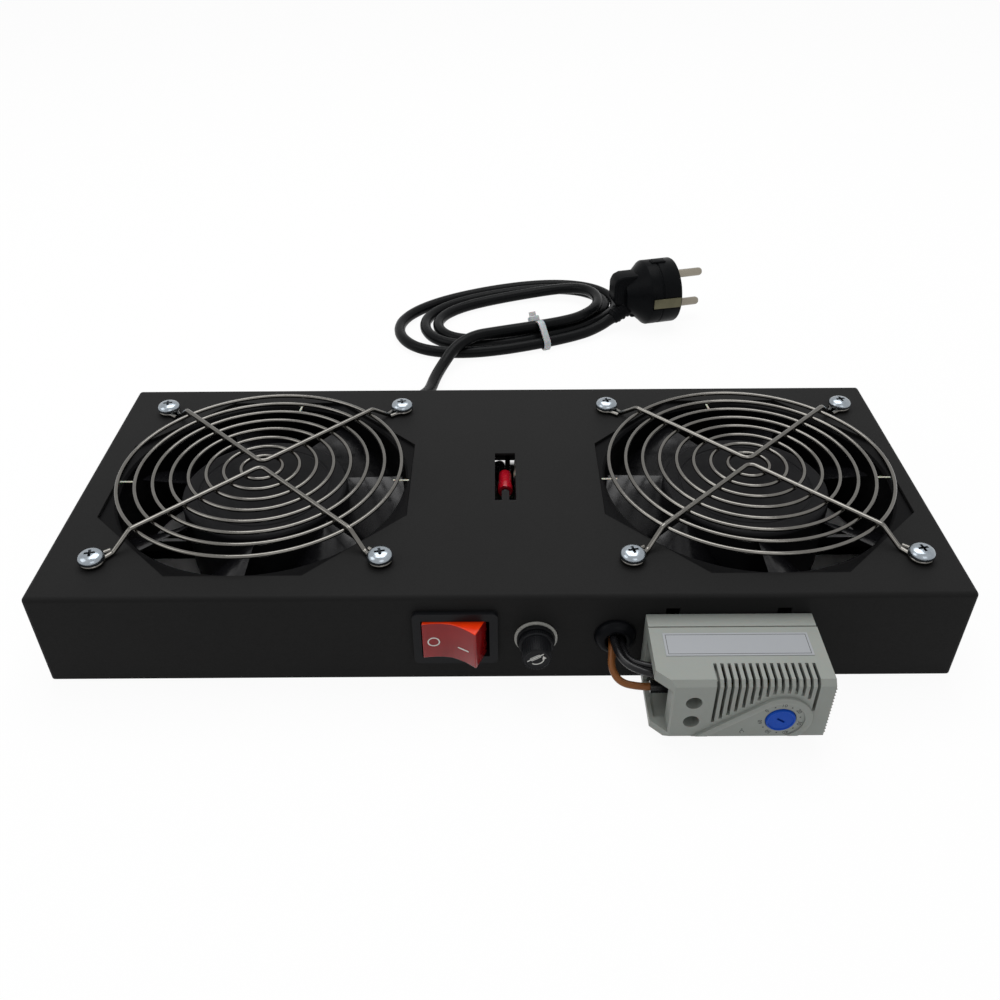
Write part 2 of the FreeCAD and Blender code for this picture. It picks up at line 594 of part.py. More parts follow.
screws, fan_tabs, cores, windings = [], [], [], []
for side, sign in FANS.items():
    centre_x = f"pair_x + ({sign}) * fan_pitch / 2"
    place_of_fan = (centre_x, "tray_y", "fan_z")
    inward = "1" if side == "left" else "-1"
    fan_frame(side, place_of_fan)
    impeller(side, place_of_fan, inward)
    stator(side, place_of_fan)
    fan_drive(side, place_of_fan, inward)
    shaped(f"fan_{side}_finger_guard", guard_shape(), (centre_x, "tray_y", "tray_h"))
    for across, along in ((-1, -1), (1, -1), (1, 1), (-1, 1)):
        screws.append(pan_screw(f"screw_{side}_{len(screws)}", f"{centre_x} + ({across}) * screw_half",
                                f"tray_y + ({along}) * screw_half"))
node(group("screw_set", screws), "guard_screws")
node(group("tab_set", fan_tabs), "fan_terminals")
node(group("core_pair", cores), "fan_stator_cores")
node(group("winding_set", windings), "fan_windings")


# Rocker switch -------------------------------------------------------------------------------

housing = Body("switch_housing", ("switch_x", "front_y", "switch_z"))
housing.pad(rectangle(housing.sketch("XZ"), "-bezel_w / 2", "bezel_w / 2", "-bezel_h / 2",
                      "bezel_h / 2"), "bezel_t")
housing.dressed("Fillet", "bezel_corner", lambda e: e.BoundBox.XLength + e.BoundBox.ZLength < 1e-6)
housing.pad(rectangle(housing.sketch("XZ"), "-box_w / 2", "box_w / 2", "-box_h / 2", "box_h / 2"),
            "box_deep", back=True)
housing.pocket(rectangle(housing.sketch("XZ", "bezel_t"), "-window_w / 2", "window_w / 2",
                         "-window_h / 2", "window_h / 2"), "bezel_t + well_deep")
bores = housing.sketch("XY", "rocker_h / 2 + stub + coil_gap")
circle(bores, "0", "pivot_deep - bezel_t", "pivot_r + running_gap")
circle(bores, "0", "pivot_deep - bezel_t + seesaw_deep", "seesaw_pin + running_gap")
housing.pocket(bores, "rocker_h + 2 * stub + 2 * coil_gap")
housing.keep("switch_housing")

pivot = ("switch_x", "pivot_y", "switch_z")
pressed = Rotation(Vector(0, 0, 1), -size("rocker_tilt"))
rocker = Body("rocker", pivot, pressed)
valley = "corner_up - rocker_a * tan(rocker_tilt * 1 deg)"
rocker.pad(outline(rocker.sketch("XY", "-rocker_h / 2"), [
    ("-rocker_a", "-corner_up"), ("0", f"-({valley})"), ("rocker_a", "-corner_up"),
    ("rocker_a", "-corner_up + bezel_t"), ("rocker_a * 0.8", "rocker_base"),
    ("nub_w / 2", "rocker_base"), ("nub_w / 2", "nub_deep"), ("-nub_w / 2", "nub_deep"),
    ("-nub_w / 2", "rocker_base"), ("-rocker_a * 0.8", "rocker_base"),
    ("-rocker_a", "-corner_up + bezel_t")]), "rocker_h")
rocker.pad(circle(rocker.sketch("XY", "-rocker_h / 2 - stub"), "0", "0", "pivot_r"),
           "rocker_h + 2 * stub")
rocker.pocket(circle(rocker.sketch("XY", "lamp_len / 2"), "lamp_x", "-lamp_up",
                     "lamp_r + dial_gap"), "lamp_len")
rocker.keep("rocker")
lamp = Body("switch_lamp", pivot, pressed)
lamp.pad(circle(lamp.sketch("XY", "cut_gap - lamp_len / 2"), "lamp_x", "-lamp_up", "lamp_r"),
         "lamp_len - 2 * cut_gap")
lamp.keep("switch_lamp")
seesaw = Body("switch_contact", ("switch_x", "pivot_y + seesaw_deep", "switch_z"),
              Rotation(Vector(0, 0, 1), size("seesaw_tilt")))
seesaw.pad(rectangle(seesaw.sketch("XY", "-seesaw_w / 2"), "-seesaw_len / 2", "seesaw_len / 2",
                     "-seesaw_t / 2", "seesaw_t / 2"), "seesaw_w")
seesaw.pad(circle(seesaw.sketch("XY", "-rocker_h / 2 - stub"), "0", "0", "seesaw_pin"),
           "rocker_h + 2 * stub")
seesaw.keep("switch_contact")
tabs = [box(f"switch_tab_{i}", "tab_t", "tab_len", "blade_tab",
            (f"switch_x + ({i}) * tab_pitch - tab_t / 2", "front_y + box_deep",
             "switch_z - blade_tab / 2")) for i in (-1, 0, 1)]
node(group("switch_tabs", tabs), "switch_terminals")


# Fuse holder ---------------------------------------------------------------------------------

OUT = TURN["-y"]
fuse_place = ("fuse_x", "front_y", "fuse_z")
ring_top = "washer_t + fuse_ring_t"
holder = Body("fuse_holder_body", fuse_place, OUT)
holder.turned(outline(holder.sketch("XZ"), [
    ("0", "-fuse_deep"), ("fuse_body_r", "-fuse_deep"), ("fuse_body_r", "washer_t"),
    ("fuse_ring_r", "washer_t"), ("fuse_ring_r", ring_top), ("fuse_bore", ring_top),
    ("fuse_bore", "fuse_floor - fuse_deep"), ("0", "fuse_floor - fuse_deep")]))
holder.keep("fuse_holder_body")
node(ring("washer", "washer_r", "fuse_body_r + fit_gap", "washer_t", fuse_place, "-y"),
     "fuse_washer")
cap = Body("fuse_cap", fuse_place, OUT)
cap_base = f"{ring_top} + dial_gap"
cap.turned(outline(cap.sketch("XZ"), [
    ("cap_bore", "-skirt_in"), ("fuse_bore - running_gap", "-skirt_in"),
    ("fuse_bore - running_gap", cap_base), ("cap_root_r", cap_base), ("cap_face_r", "cap_reach"),
    ("0", "cap_reach"), ("0", "cap_reach - cap_lid"), ("cap_bore", "cap_reach - cap_lid")]))
notch = rectangle(cap.sketch("XY", "cap_reach"), "cap_face_r - knurl_deep", "cap_root_r * 2",
                  "-knurl_w / 2", "knurl_w / 2")
cap.polar([cap.pocket(notch, "knurl_len")], "knurls")
cap.keep("fuse_cap")
link_front = "cap_reach - cap_lid - dial_gap"
glass_from = "front_y - (" + link_front + ") + link_cap * 0.1"
node(ring("glass", "glass_r", "glass_r - glass_wall", "link_len - link_cap * 0.2",
          ("fuse_x", glass_from, "fuse_z"), "y"), "fuse_glass")
link_caps = []
for end, start in (("front", f"front_y - ({link_front})"),
                   ("back", f"front_y - ({link_front}) + link_len - link_cap")):
    solid = rod(f"link_cap_{end}", "link_r", "link_cap", ("fuse_x", start, "fuse_z"), "y")
    shift = "0.1" if end == "front" else "-0.1"
    hollow = rod(f"link_hollow_{end}", "glass_r + fit_gap", "link_cap",
                 ("fuse_x", f"{start} + ({shift}) * link_cap", "fuse_z"), "y")
    link_caps.append(without(f"link_cup_{end}", solid, [hollow]))
node(group("link_cups", link_caps), "fuse_end_caps")
contact_y = f"front_y - ({link_front}) + link_len + dial_gap"
back_y = "front_y + fuse_deep"
spring = rod("fuse_contact", "link_r", f"{back_y} - fuse_floor - ({contact_y})",
             ("fuse_x", contact_y, "fuse_z"), "y")
end_tab = box("fuse_tab_end", "tab_t", "tab_len", "blade_tab * 0.75",
              ("fuse_x - tab_t / 2", back_y, "fuse_z - blade_tab * 0.375"))
side_tab = box("fuse_tab_side", "blade_tab * 0.75", "tab_len", "tab_t",
               ("fuse_x - blade_tab * 0.375", f"{back_y} - tab_len * 1.2",
                "fuse_z + fuse_body_r"))
node(group("fuse_tabs", [spring, end_tab, side_tab]), "fuse_terminals")


def hex_nut(name, flats, hole, thick, at, axis):
    """Six-sided nut."""
    hexagon = doc.addObject("Part::Prism", name + "_hexagon")
    bind(hexagon, Circumradius=f"{flats} / 2 / cos(30 deg)", Height=thick)
    place(hexagon, at, TURN[axis])
    return without(name, hexagon, [rod(name + "_bore", hole, thick, at, axis)])


node(hex_nut("fuse_hexagon", "fuse_nut_flats", "fuse_body_r + fit_gap", "fuse_nut_t",
             ("fuse_x", "front_y + sheet", "fuse_z"), "y"), "fuse_nut")


# Grommet and the leads in front --------------------------------------------------------------

grommet = Body("grommet", ("grommet_x", "front_y", "grommet_z"), OUT)
inner_lip, neck = "-sheet - grommet_hole * 0.35", "grommet_hole - fit_gap"
grommet.turned(outline(grommet.sketch("XZ"), [
    ("grommet_bore", inner_lip), ("grommet_r * 0.88", inner_lip),
    ("grommet_r * 0.88", "-sheet - fit_gap"), (neck, "-sheet - fit_gap"), (neck, "fit_gap"),
    ("grommet_r", "fit_gap"), ("grommet_r * 0.96", "grommet_r * 0.22"),
    ("grommet_r * 0.76", "grommet_r * 0.42"), ("grommet_bore * 1.25", "grommet_r * 0.5"),
    ("grommet_bore", "grommet_r * 0.44")]))
grommet.keep("grommet")

front = size("unit_gap") + size("unit_depth") + size("dial_proud")
middle_y = front / 2
front_face = middle_y - size("tray_d") / 2
hole_x, hole_z = size("grommet_x"), size("grommet_z")
splice_z = size("splice_z")
clamp_x = size("unit_x") - size("unit_w") / 2 + size("access_in") - size("clamp_w") / 2
upper, lower = (size("unit_z") + size(name) for name in ("upper_z", "lower_z"))
tab_back = front_face + size("box_deep") + size("tab_len")
tab_x = size("switch_x") + size("tab_pitch")
splice_x = size("pair_x") + size("splice_step")
splice_end = middle_y + size("splice_clear_y") - size("clamp_l") * 1.25


def lead(inside, hole, outside, bends):
    """Insulated lead from inside the tray, through the grommet and round to a clamp."""
    x, z = hole_x + hole[0], hole_z + hole[1]
    points = [Vector(*point) for point in inside]
    points += [Vector(x, front_face + 7.0, z), Vector(x, front_face - 5.0, z)]
    points += [Vector(*point) for point in outside]
    return pipe(route(points, bends), size("lead_r"))


brown_y = front_face - 17.4
pair_y = front_face - 18.2
pair_step = size("lead_r") + 0.25
shaped("lead_brown", lead(
    [(tab_x, tab_back, size("switch_z")), (tab_x, tab_back + 8.0, size("switch_z")),
     (20.0, front_face + 38.0, 26.0), (33.0, front_face + 20.0, 21.0)], (-1.2, -1.6),
    [(38.6, front_face - 10.5, 15.0), (42.5, front_face - 15.6, 12.8), (50.5, brown_y, lower),
     (clamp_x, brown_y, lower)], (4.0, 9.0, 12.0, 7.0, 5.0, 4.0, 6.0, 12.0)))
pair = [
    lead([(splice_x + pair_step, splice_end, splice_z),
          (splice_x + pair_step, splice_end - 21.0, splice_z),
          (17.0, front_face + 36.0, 31.0), (34.0, front_face + 16.5, 25.5)], (1.9, -0.4),
         [(45.5, front_face - 13.0, 20.8), (52.0, pair_y + pair_step, upper),
          (clamp_x, pair_y + pair_step, upper)], (20.0, 12.0, 6.0, 3.0, 4.0, 5.0, 9.0)),
    lead([(splice_x - pair_step, splice_end, splice_z),
          (splice_x - pair_step, splice_end - 21.0, splice_z),
          (12.0, front_face + 34.0, 31.5), (28.0, front_face + 13.5, 30.0)], (-0.9, 1.7),
         [(43.5, front_face - 16.5, 22.8), (51.5, pair_y - pair_step, upper),
          (clamp_x, pair_y - pair_step, upper)], (20.0, 12.0, 6.0, 3.0, 5.0, 6.0, 12.0))]
shaped("leads_black", Part.Compound(pair))
sleeve_r = size("lead_r") + size("fit_gap")
sleeve = Part.makeCylinder(sleeve_r + 0.9, 7.0, Vector(0, 0, 0), Vector(1, 0, 0)).cut(
    Part.makeCylinder(sleeve_r, 7.0, Vector(0, 0, 0), Vector(1, 0, 0)))
shaped("lead_sleeve", sleeve, ("unit_left + access_in - clamp_w / 2 - cover_wall * 5", str(brown_y),
                               "unit_z + lower_z"))


# Thermostat ----------------------------------------------------------------------------------

base_parts = [box("base_slab", "unit_w", "base_t", "unit_h", ("unit_left", "cover_back", "unit_z"))]
strip_edge = "clip_pitch / 2 - clip_slot_w / 2"
for side, sign in FANS.items():
    stem_low = f"unit_x + ({sign}) * ({strip_edge} + hook_gap + hook_w / 2) - hook_w / 2"
    lip_mid = f"unit_x + ({sign}) * ({strip_edge} + hook_gap + hook_w - (hook_w + hook_lip) / 2)"
    middle_z = "unit_z + unit_h / 2 - hook_h / 2"
    base_parts.append(box(f"hook_stem_{side}", "hook_w", "unit_gap + sheet + hook_gap + hook_t",
                          "hook_h", (stem_low, "unit_back", middle_z)))
    base_parts.append(box(f"hook_lip_{side}", "hook_w + hook_lip", "hook_t", "hook_h",
                          (f"{lip_mid} - (hook_w + hook_lip) / 2",
                           "front_y + sheet + hook_gap", middle_z)))
node(joined("base_with_hooks", base_parts), "thermostat_base")

cover = Body("thermostat_cover", ("unit_x", "cover_back", "unit_z"))
cover_depth = "unit_depth - base_t"
cover.pad(rectangle(cover.sketch("XZ"), "-unit_w / 2", "unit_w / 2", "0", "unit_h"), cover_depth)
far_y = size("base_t") - size("unit_depth")
wide, tall = size("unit_w") / 2, size("unit_h")


def front_rim(edge):
    """Whether an edge lies along the top or bottom of the cover's front."""
    spread = edge.BoundBox
    return abs(spread.YMin - far_y) + spread.YLength + spread.ZLength < 1e-6


def front_left(edge):
    """Whether an edge is the cover's upright corner at the front left."""
    spread = edge.BoundBox
    return upright(edge) and abs(spread.XMin + wide) < 1e-6 and abs(spread.YMin - far_y) < 1e-6


cover.dressed("Chamfer", "corner_cut", front_left)
cover.dressed("Chamfer", "edge_cut", front_rim)
inner_low, inner_high = "cover_wall", "unit_h - cover_wall"
cover.pocket(rectangle(cover.sketch("XZ"), "terminal_w + cover_wall - unit_w / 2",
                       "unit_w / 2 - cover_wall", inner_low, inner_high),
             f"{cover_depth} - cover_wall * 1.5", back=True)
cover.pocket(rectangle(cover.sketch("XZ"), "cover_wall - unit_w / 2", "terminal_w - unit_w / 2",
                       inner_low, inner_high),
             f"{cover_depth} - corner_cut - cover_wall", back=True)
window = cover.sketch("YZ", "-unit_w / 2")
cover.pocket(rectangle(window, f"corner_cut + cover_wall - ({cover_depth})", "-cover_wall",
                       "cover_wall * 1.5", "unit_h - cover_wall * 3"), "cover_wall * 2", back=True)
access = cover.sketch("XZ", cover_depth)
circle(access, "access_in - unit_w / 2", "upper_z", "access_r")
circle(access, "access_in - unit_w / 2", "lower_z", "access_r")
cover.pocket(access, "corner_cut + cover_wall * 2")
scale = cover.sketch("XZ", cover_depth)
cover.pad(circle(scale, "dial_x", "dial_z", "scale_r"), "scale_lift")
scale = cover.sketch("XZ", cover_depth)
cover.pad(outline(scale, [
    ("dial_x - scale_r * 0.6", "dial_z + scale_r * 0.8"),
    ("dial_x - scale_r * 0.6 - (dial_z + scale_r * 0.8 - edge_cut) / 0.75", "edge_cut"),
    ("dial_x + scale_r * 0.55", "edge_cut"), ("dial_x", "dial_z")]), "scale_lift")
cover.pocket(circle(cover.sketch("XZ", f"{cover_depth} + scale_lift"), "dial_x", "dial_z",
                    "dial_r + dial_gap"), "cover_wall * 2 + scale_lift")
top_slots = cover.sketch("XY", "unit_h")
face_slots = cover.sketch("XZ", cover_depth)
dial_offset, ring_r = size("dial_x"), size("vent_ring")
for i in range(int(size("vents"))):
    slot_x = f"vent_first + {i} * vent_pitch"
    offset = size("vent_first") + i * size("vent_pitch") - dial_offset
    left, right = f"{slot_x} - vent_w / 2", f"{slot_x} + vent_w / 2"
    rectangle(top_slots, left, right, f"-({cover_depth}) - scale_lift",
              f"vent_top - ({cover_depth})")
    if offset < -0.6 * ring_r:
        low = f"dial_z + 0.75 * ({slot_x} - dial_x) + 1.25 * vent_ring"
    elif offset < 0.75 * ring_r:
        low = f"dial_z + sqrt(vent_ring * vent_ring - ({slot_x} - dial_x) * ({slot_x} - dial_x))"
    else:
        low = "dial_z + scale_r * 0.35"
    rectangle(face_slots, left, right, low, "unit_h + cover_wall")
cover.pocket(top_slots, "cover_wall * 1.5")
cover.pocket(face_slots, "cover_wall * 2")
cover.keep("thermostat_cover")

node(box("label_plate", "label_w", "label_d", "label_t",
         ("unit_x - label_w / 2", "front_y - label_in - label_d", "unit_top")), "thermostat_label")
dial_place = ("dial_at_x", "unit_front", "dial_at_z")
dial = Body("thermostat_dial", dial_place, OUT)
dial.pad(circle(dial.sketch("XY", "dial_proud - dial_t"), "0", "0", "dial_r"), "dial_t")
dial.dressed("Chamfer", "dial_gap * 1.5", lambda e: e.BoundBox.ZMin > size("dial_proud") - 1e-6)
dial.pocket(rectangle(dial.sketch("XY", "dial_proud"), "-dial_r * 0.62", "dial_r * 0.62",
                      "-label_t * 2.5", "label_t * 2.5"), "dial_proud")
dial.keep("thermostat_dial")
node(rod("spindle", "spindle_r", "cover_back - dial_gap - unit_front - (dial_t - dial_proud)",
         ("dial_at_x", "unit_front + dial_t - dial_proud", "dial_at_z"), "y"), "dial_spindle")

chamber_x, chamber_w = "unit_left + terminal_w + cover_wall", "unit_w - terminal_w - 2 * cover_wall"
leaf_x = f"{chamber_x} + clamp_gap"
strip_y = "cover_back - clamp_l * 1.2"
bimetal = [box("bimetal_leaf", f"({chamber_w}) * 0.73", "strip_t", "clamp_h * 0.8",
               (leaf_x, strip_y, "unit_z + unit_h - clamp_h * 1.4")),
           box("bimetal_foot", "clamp_l * 0.4", f"cover_back - ({strip_y})", "clamp_h * 0.8",
               (leaf_x, strip_y, "unit_z + unit_h - clamp_h * 1.4"))]
node(joined("bimetal_bent", bimetal), "bimetal_strip")
blade_y = "cover_back - clamp_l * 0.8"
contact = [box("contact_leaf", f"({chamber_w}) * 0.36", "strip_t * 0.5", "clamp_h * 0.6",
               (leaf_x, blade_y, "unit_z + cover_wall * 2")),
           box("contact_foot", "clamp_l * 0.4", f"cover_back - ({blade_y})", "clamp_h * 0.6",
               (leaf_x, blade_y, "unit_z + cover_wall * 2"))]
node(joined("contact_bent", contact), "snap_contact")
clamps, clamp_screws = [], []
clamp_front = "cover_back - clamp_l * 1.6"
for name, height in (("upper", "upper_z"), ("lower", "lower_z")):
    clamps.append(box(f"clamp_{name}", "clamp_w", "clamp_l * 1.6", "clamp_h",
                      ("unit_left + access_in - clamp_w / 2", clamp_front,
                       f"unit_z + {height} - clamp_h / 2")))
    head = rod(f"clamp_head_{name}", "access_r * 0.9", "terminal_t * 2",
               ("unit_left + access_in", clamp_front, f"unit_z + {height}"), "-y")
    groove = box(f"clamp_slot_{name}", "access_r * 2", "terminal_t", "terminal_t",
                 ("unit_left + access_in - access_r", f"{clamp_front} - terminal_t * 2",
                  f"unit_z + {height} - terminal_t / 2"))
    clamp_screws.append(without(f"clamp_screw_{name}", head, [groove]))
node(group("clamp_pair", clamps), "terminal_clamps")
node(group("clamp_screw_pair", clamp_screws), "terminal_screws")


# Wiring under the plate ----------------------------------------------------------------------

under = size("tray_h") - size("sheet")
fan_low = under - size("fan_depth")
rear_face = middle_y + size("tray_d") / 2
inner_rear = rear_face - size("sheet")
switch_x, switch_z = size("switch_x"), size("switch_z")
switch_back = front_face + size("box_deep") + size("tab_len") - middle_y
fuse_x, fuse_z = size("fuse_x"), size("fuse_z")
fuse_back = front_face + size("fuse_deep") + size("tab_len") - middle_y
gland_x, gland_z = size("gland_x"), size("gland_z")
gland_front = inner_rear - size("collar_t") - middle_y
stud_x, stud_z = size("stud_x"), size("stud_z")
core_out = size("cord_r") * 0.8


def wire(points, bends, radius):
    """Insulated wire whose points give y from the middle of the tray."""
    return pipe(route([Vector(x, middle_y + y, z) for x, y, z in points], bends), radius)


def crimp(label, x, back):
    """Insulated crimp sleeve that lies along Y."""
    sleeve = Body(label, (x, f"tray_y + {back}", "splice_z"), OUT)
    hole = "lead_r + fit_gap"
    sleeve.turned(outline(sleeve.sketch("XZ"), [
        (hole, "0"), ("lead_r * 2", "0"), ("lead_r * 2", "clamp_h"),
        ("lead_r * 2.3", "clamp_l * 0.9"), ("lead_r * 2.3", "clamp_l * 1.25"),
        (hole, "clamp_l * 1.25")]))
    sleeve.keep(label)


crimp("crimp_splice_red", "pair_x", "splice_red_y")
crimp("crimp_splice_clear", "pair_x + splice_step", "splice_clear_y")
red_x, clear_x = size("pair_x"), size("pair_x") + size("splice_step")
red_back, clear_back = size("splice_red_y"), size("splice_clear_y")
red_front = red_back - size("clamp_l") * 1.25
core_r, fan_lead_r = size("lead_r"), size("fan_lead_r")
shaped("lead_grey", wire([
    (red_x, red_front, splice_z), (red_x, -12.0, splice_z), (switch_x, -24.0, 26.0),
    (switch_x, switch_back + 8.0, switch_z), (switch_x, switch_back, switch_z)],
    (12.0, 4.0, 6.0), core_r))
live = wire([
    (gland_x + core_out, gland_front, gland_z), (gland_x + core_out, gland_front - 4.6, gland_z),
    (-27.0, gland_front - 8.0, 9.0), (-22.0, 20.0, 7.0), (fuse_x, -12.0, 8.0),
    (fuse_x, fuse_back + 9.0, fuse_z), (fuse_x, fuse_back, fuse_z)],
    (2.5, 6.0, 12.0, 9.0, 4.0), core_r)
neutral = wire([
    (gland_x, gland_front, gland_z + core_out), (gland_x, gland_front - 6.6, gland_z + core_out),
    (-18.0, gland_front - 10.0, 14.0), (-6.0, 30.0, 14.0), (-20.0, 0.0, 14.0),
    (switch_x - size("tab_pitch"), switch_back + 10.0, switch_z),
    (switch_x - size("tab_pitch"), switch_back, switch_z)],
    (2.5, 9.0, 12.0, 12.0, 5.0), core_r)
earth = wire([
    (gland_x - core_out, gland_front, gland_z), (gland_x - core_out, gland_front - 4.4, gland_z),
    (stud_x, gland_front - 1.6, stud_z - size("lug_len") - 6.5),
    (stud_x, inner_rear - middle_y - core_r - 0.1, stud_z - size("lug_len"))],
    (2.5, 2.0), core_r)
shaped("mains_cores", Part.Compound([live, neutral, earth]))
tab_z = fan_low + size("terminal_z") + size("terminal_t") * 2
tab_reach = size("fan_gap") / 2 + size("duct_inset") - size("terminal_len")
tab_out = (size("terminal_pitch") + size("terminal_t")) / 2
tab_in = (size("terminal_pitch") - size("terminal_t")) / 2
left_tab, right_tab = size("pair_x") - tab_reach, size("pair_x") + tab_reach
spread = fan_lead_r + 0.1
fan_wires = [
    wire([(left_tab, -tab_in, tab_z), (-22.0, -tab_in, tab_z), (-9.0, 22.0, 22.0),
          (red_x - spread, 30.0, splice_z), (red_x - spread, red_back, splice_z)],
         (5.0, 6.0, 4.0), fan_lead_r),
    wire([(left_tab, tab_out, tab_z), (-26.0, tab_out, tab_z), (-15.0, 30.0, 20.0),
          (red_x + spread, 38.0, splice_z), (red_x + spread, red_back, splice_z)],
         (3.0, 6.0, 4.0), fan_lead_r),
    wire([(right_tab, -tab_in, tab_z), (27.0, -tab_in, tab_z), (20.0, 22.0, 20.0),
          (clear_x + spread, 38.0, splice_z), (clear_x + spread, clear_back, splice_z)],
         (5.0, 6.0, 4.0), fan_lead_r),
    wire([(right_tab, tab_out, tab_z), (31.0, tab_out, tab_z), (25.0, 30.0, 20.0),
          (clear_x - spread, 46.0, splice_z), (clear_x - spread, clear_back, splice_z)],
         (3.0, 6.0, 4.0), fan_lead_r)]
shaped("fan_leads", Part.Compound(fan_wires))

lug = joined("lug_solid", [
    rod("lug_disc", "lug_r", "lug_t", ("stud_x", "rear_y - sheet", "stud_z"), "-y"),
    box("lug_tongue", "lug_w", "lug_t", "lug_len",
        ("stud_x - lug_w / 2", "rear_y - sheet - lug_t", "stud_z - lug_len"))])
lug_bore = rod("lug_bore", "stud_r + fit_gap", "lug_t",
               ("stud_x", "rear_y - sheet", "stud_z"), "-y")
node(without("lug", lug, [lug_bore]), "earth_lug")
node(hex_nut("stud_hexagon", "nut_flats", "stud_r + fit_gap", "nut_t",
             ("stud_x", "rear_y - sheet - lug_t", "stud_z"), "-y"), "earth_nut")


# Mains lead ----------------------------------------------------------------------------------

gland = Body("cord_gland", ("gland_x", "rear_y", "gland_z"), TURN["y"])
gland_neck = "gland_hole - fit_gap"
gland.turned(outline(gland.sketch("XZ"), [
    ("0", "-sheet - collar_t"), ("collar_r", "-sheet - collar_t"),
    ("collar_r", "-sheet - fit_gap"), (gland_neck, "-sheet - fit_gap"), (gland_neck, "fit_gap"),
    ("boot_flange_r", "fit_gap"), ("boot_flange_r", "sheet * 1.5"), ("boot_r", "sheet * 2.5"),
    ("boot_tip_r", "gland_out"), ("0", "gland_out")]))
gland.keep("cord_gland")

cord_r = size("cord_r")
cord_points = [Vector(x, middle_y + y, z) for x, y, z in (
    (gland_x, size("tray_d") / 2 + size("gland_out"), gland_z), (gland_x, 110.5, gland_z),
    (-43.0, 127.0, 8.4), (-38.0, 143.0, 3.8), (-33.5, 159.0, 3.6), (-29.5, 176.0, 4.6))]


def free_route(points):
    """Route whose arcs are as large as the runs beside them allow."""
    radii = []
    for before, corner, after in zip(points, points[1:], points[2:]):
        half_turn = (corner - before).getAngle(after - corner) / 2
        shorter = min((corner - before).Length, (after - corner).Length)
        radii.append(0.45 * shorter / math.tan(half_turn))
    print("cord bend radii", [round(radius, 1) for radius in radii])
    return route(points, radii)


cord_path = free_route(cord_points)
cord_tube = pipe(cord_path, cord_r)
print("cord tube volume over section times length",
      round(cord_tube.Volume / (math.pi * cord_r ** 2 * cord_path.Length), 4))
shaped("mains_cord", cord_tube)

coil_turn = Rotation(Vector(0, 0, 1), size("coil_turn"))
coil_place = ("coil_x", "tray_y + coil_y", "0")
edge = Part.Wire(Part.Ellipse(Vector(), size("coil_a"), size("coil_b")).toShape())
inner_edge = Part.Wire(Part.Ellipse(Vector(), size("coil_in_a"), size("coil_in_b")).toShape())
coil = Part.Face(edge).cut(Part.Face(inner_edge)).extrude(Vector(0, 0, size("coil_h")))
coil = coil.makeFillet(cord_r, [e for e in coil.Edges if e.BoundBox.ZLength < 1e-6])
shaped("cord_coil", coil, coil_place, coil_turn)

tie_gap, tie_t, tie_w = size("tie_gap"), size("tie_t"), size("tie_w")
tie_near = -size("coil_b") - tie_gap
tie_far = -size("coil_in_b") + 2 * tie_gap
tie_top = size("coil_h") + tie_gap
tie_x = size("tie_along")
band = Part.makeBox(tie_w, tie_far - tie_near + 2 * tie_t, tie_top + tie_t,
                    Vector(tie_x - tie_w / 2, tie_near - tie_t, 0))
band = band.cut(Part.makeBox(tie_w, tie_far - tie_near, tie_top - tie_t / 4,
                             Vector(tie_x - tie_w / 2, tie_near, tie_t / 4)))
tie_head = size("tie_head")
head = Part.makeBox(tie_head, tie_head * 0.8, tie_head,
                    Vector(tie_x - tie_head / 2, tie_far, tie_top + tie_t - tie_head * 0.5))
tail = Part.makeBox(tie_w * 0.9, tie_t, tie_head * 0.5,
                    Vector(tie_x - tie_w * 0.45, tie_far + tie_head * 0.3,
                           tie_top + tie_t + tie_head * 0.5))
shaped("cable_tie", band.fuse([head, tail]).removeSplitter(), coil_place, coil_turn)

plug_place = ("plug_x", "tray_y + plug_y", "plug_r")
plug_turn = Rotation(Vector(0, 0, 1), size("plug_yaw"))
plug_r, plug_len = size("plug_r"), size("plug_len")
neck_end = plug_len + size("neck_len")
grip_len, grip_t, grip_h = size("grip_len"), size("grip_t"), size("grip_h")
body = Part.makeCylinder(plug_r, plug_len, Vector(-plug_len, 0, 0), Vector(1, 0, 0))
shoulder = Part.makeCone(size("neck_r"), plug_r, size("neck_len"), Vector(-neck_end, 0, 0),
                         Vector(1, 0, 0))
grip_foot = size("coil_h") + size("coil_gap") - plug_r
grip_edge = [(-plug_len / 2, -grip_h / 2), (-size("grip_step"), -grip_h / 2),
             (-size("grip_step") - size("coil_gap"), grip_foot), (-grip_len, grip_foot),
             (-grip_len, grip_h / 2), (-plug_len / 2, grip_h / 2)]
grip_side = Part.makePolygon([Vector(x, -grip_t / 2, z) for x, z in grip_edge + grip_edge[:1]])
wing = Part.Face(grip_side).extrude(Vector(0, grip_t, 0))
relief_wall = size("relief_wall")
relief_from = Vector(-plug_len - relief_wall, 0, -relief_wall)
relief_to = Vector(-size("relief_reach"), -size("relief_side"), size("relief_z") - plug_r)
relief = Part.makeCone(size("relief_r"), cord_r + relief_wall / 3, (relief_to - relief_from).Length,
                       relief_from, relief_to - relief_from)
moulding = body.fuse([shoulder, wing, relief])
earth_w, earth_t = size("earth_w"), size("earth_t")
strips = [Part.makeBox(plug_len * 0.85, earth_t, earth_w,
                       Vector(-plug_len * 0.95, way * (plug_r - earth_t / 2) - earth_t / 2,
                              -earth_w / 2)) for way in (1, -1)]
shaped("plug_body", moulding.cut(strips), plug_place, plug_turn)
shaped("plug_earth_contacts", Part.Compound(strips), plug_place, plug_turn)
pins = [rod(f"plug_pin_{i}", "pin_r", "pin_len",
            ("plug_x", "tray_y + plug_y", f"plug_r + ({i}) * pin_pitch / 2"))
        for i in (-1, 1)]
for pin in pins:
    pin.Placement = Placement(pin.Placement.Base, plug_turn * TURN["x"])
node(group("pin_pair", pins), "plug_pins")


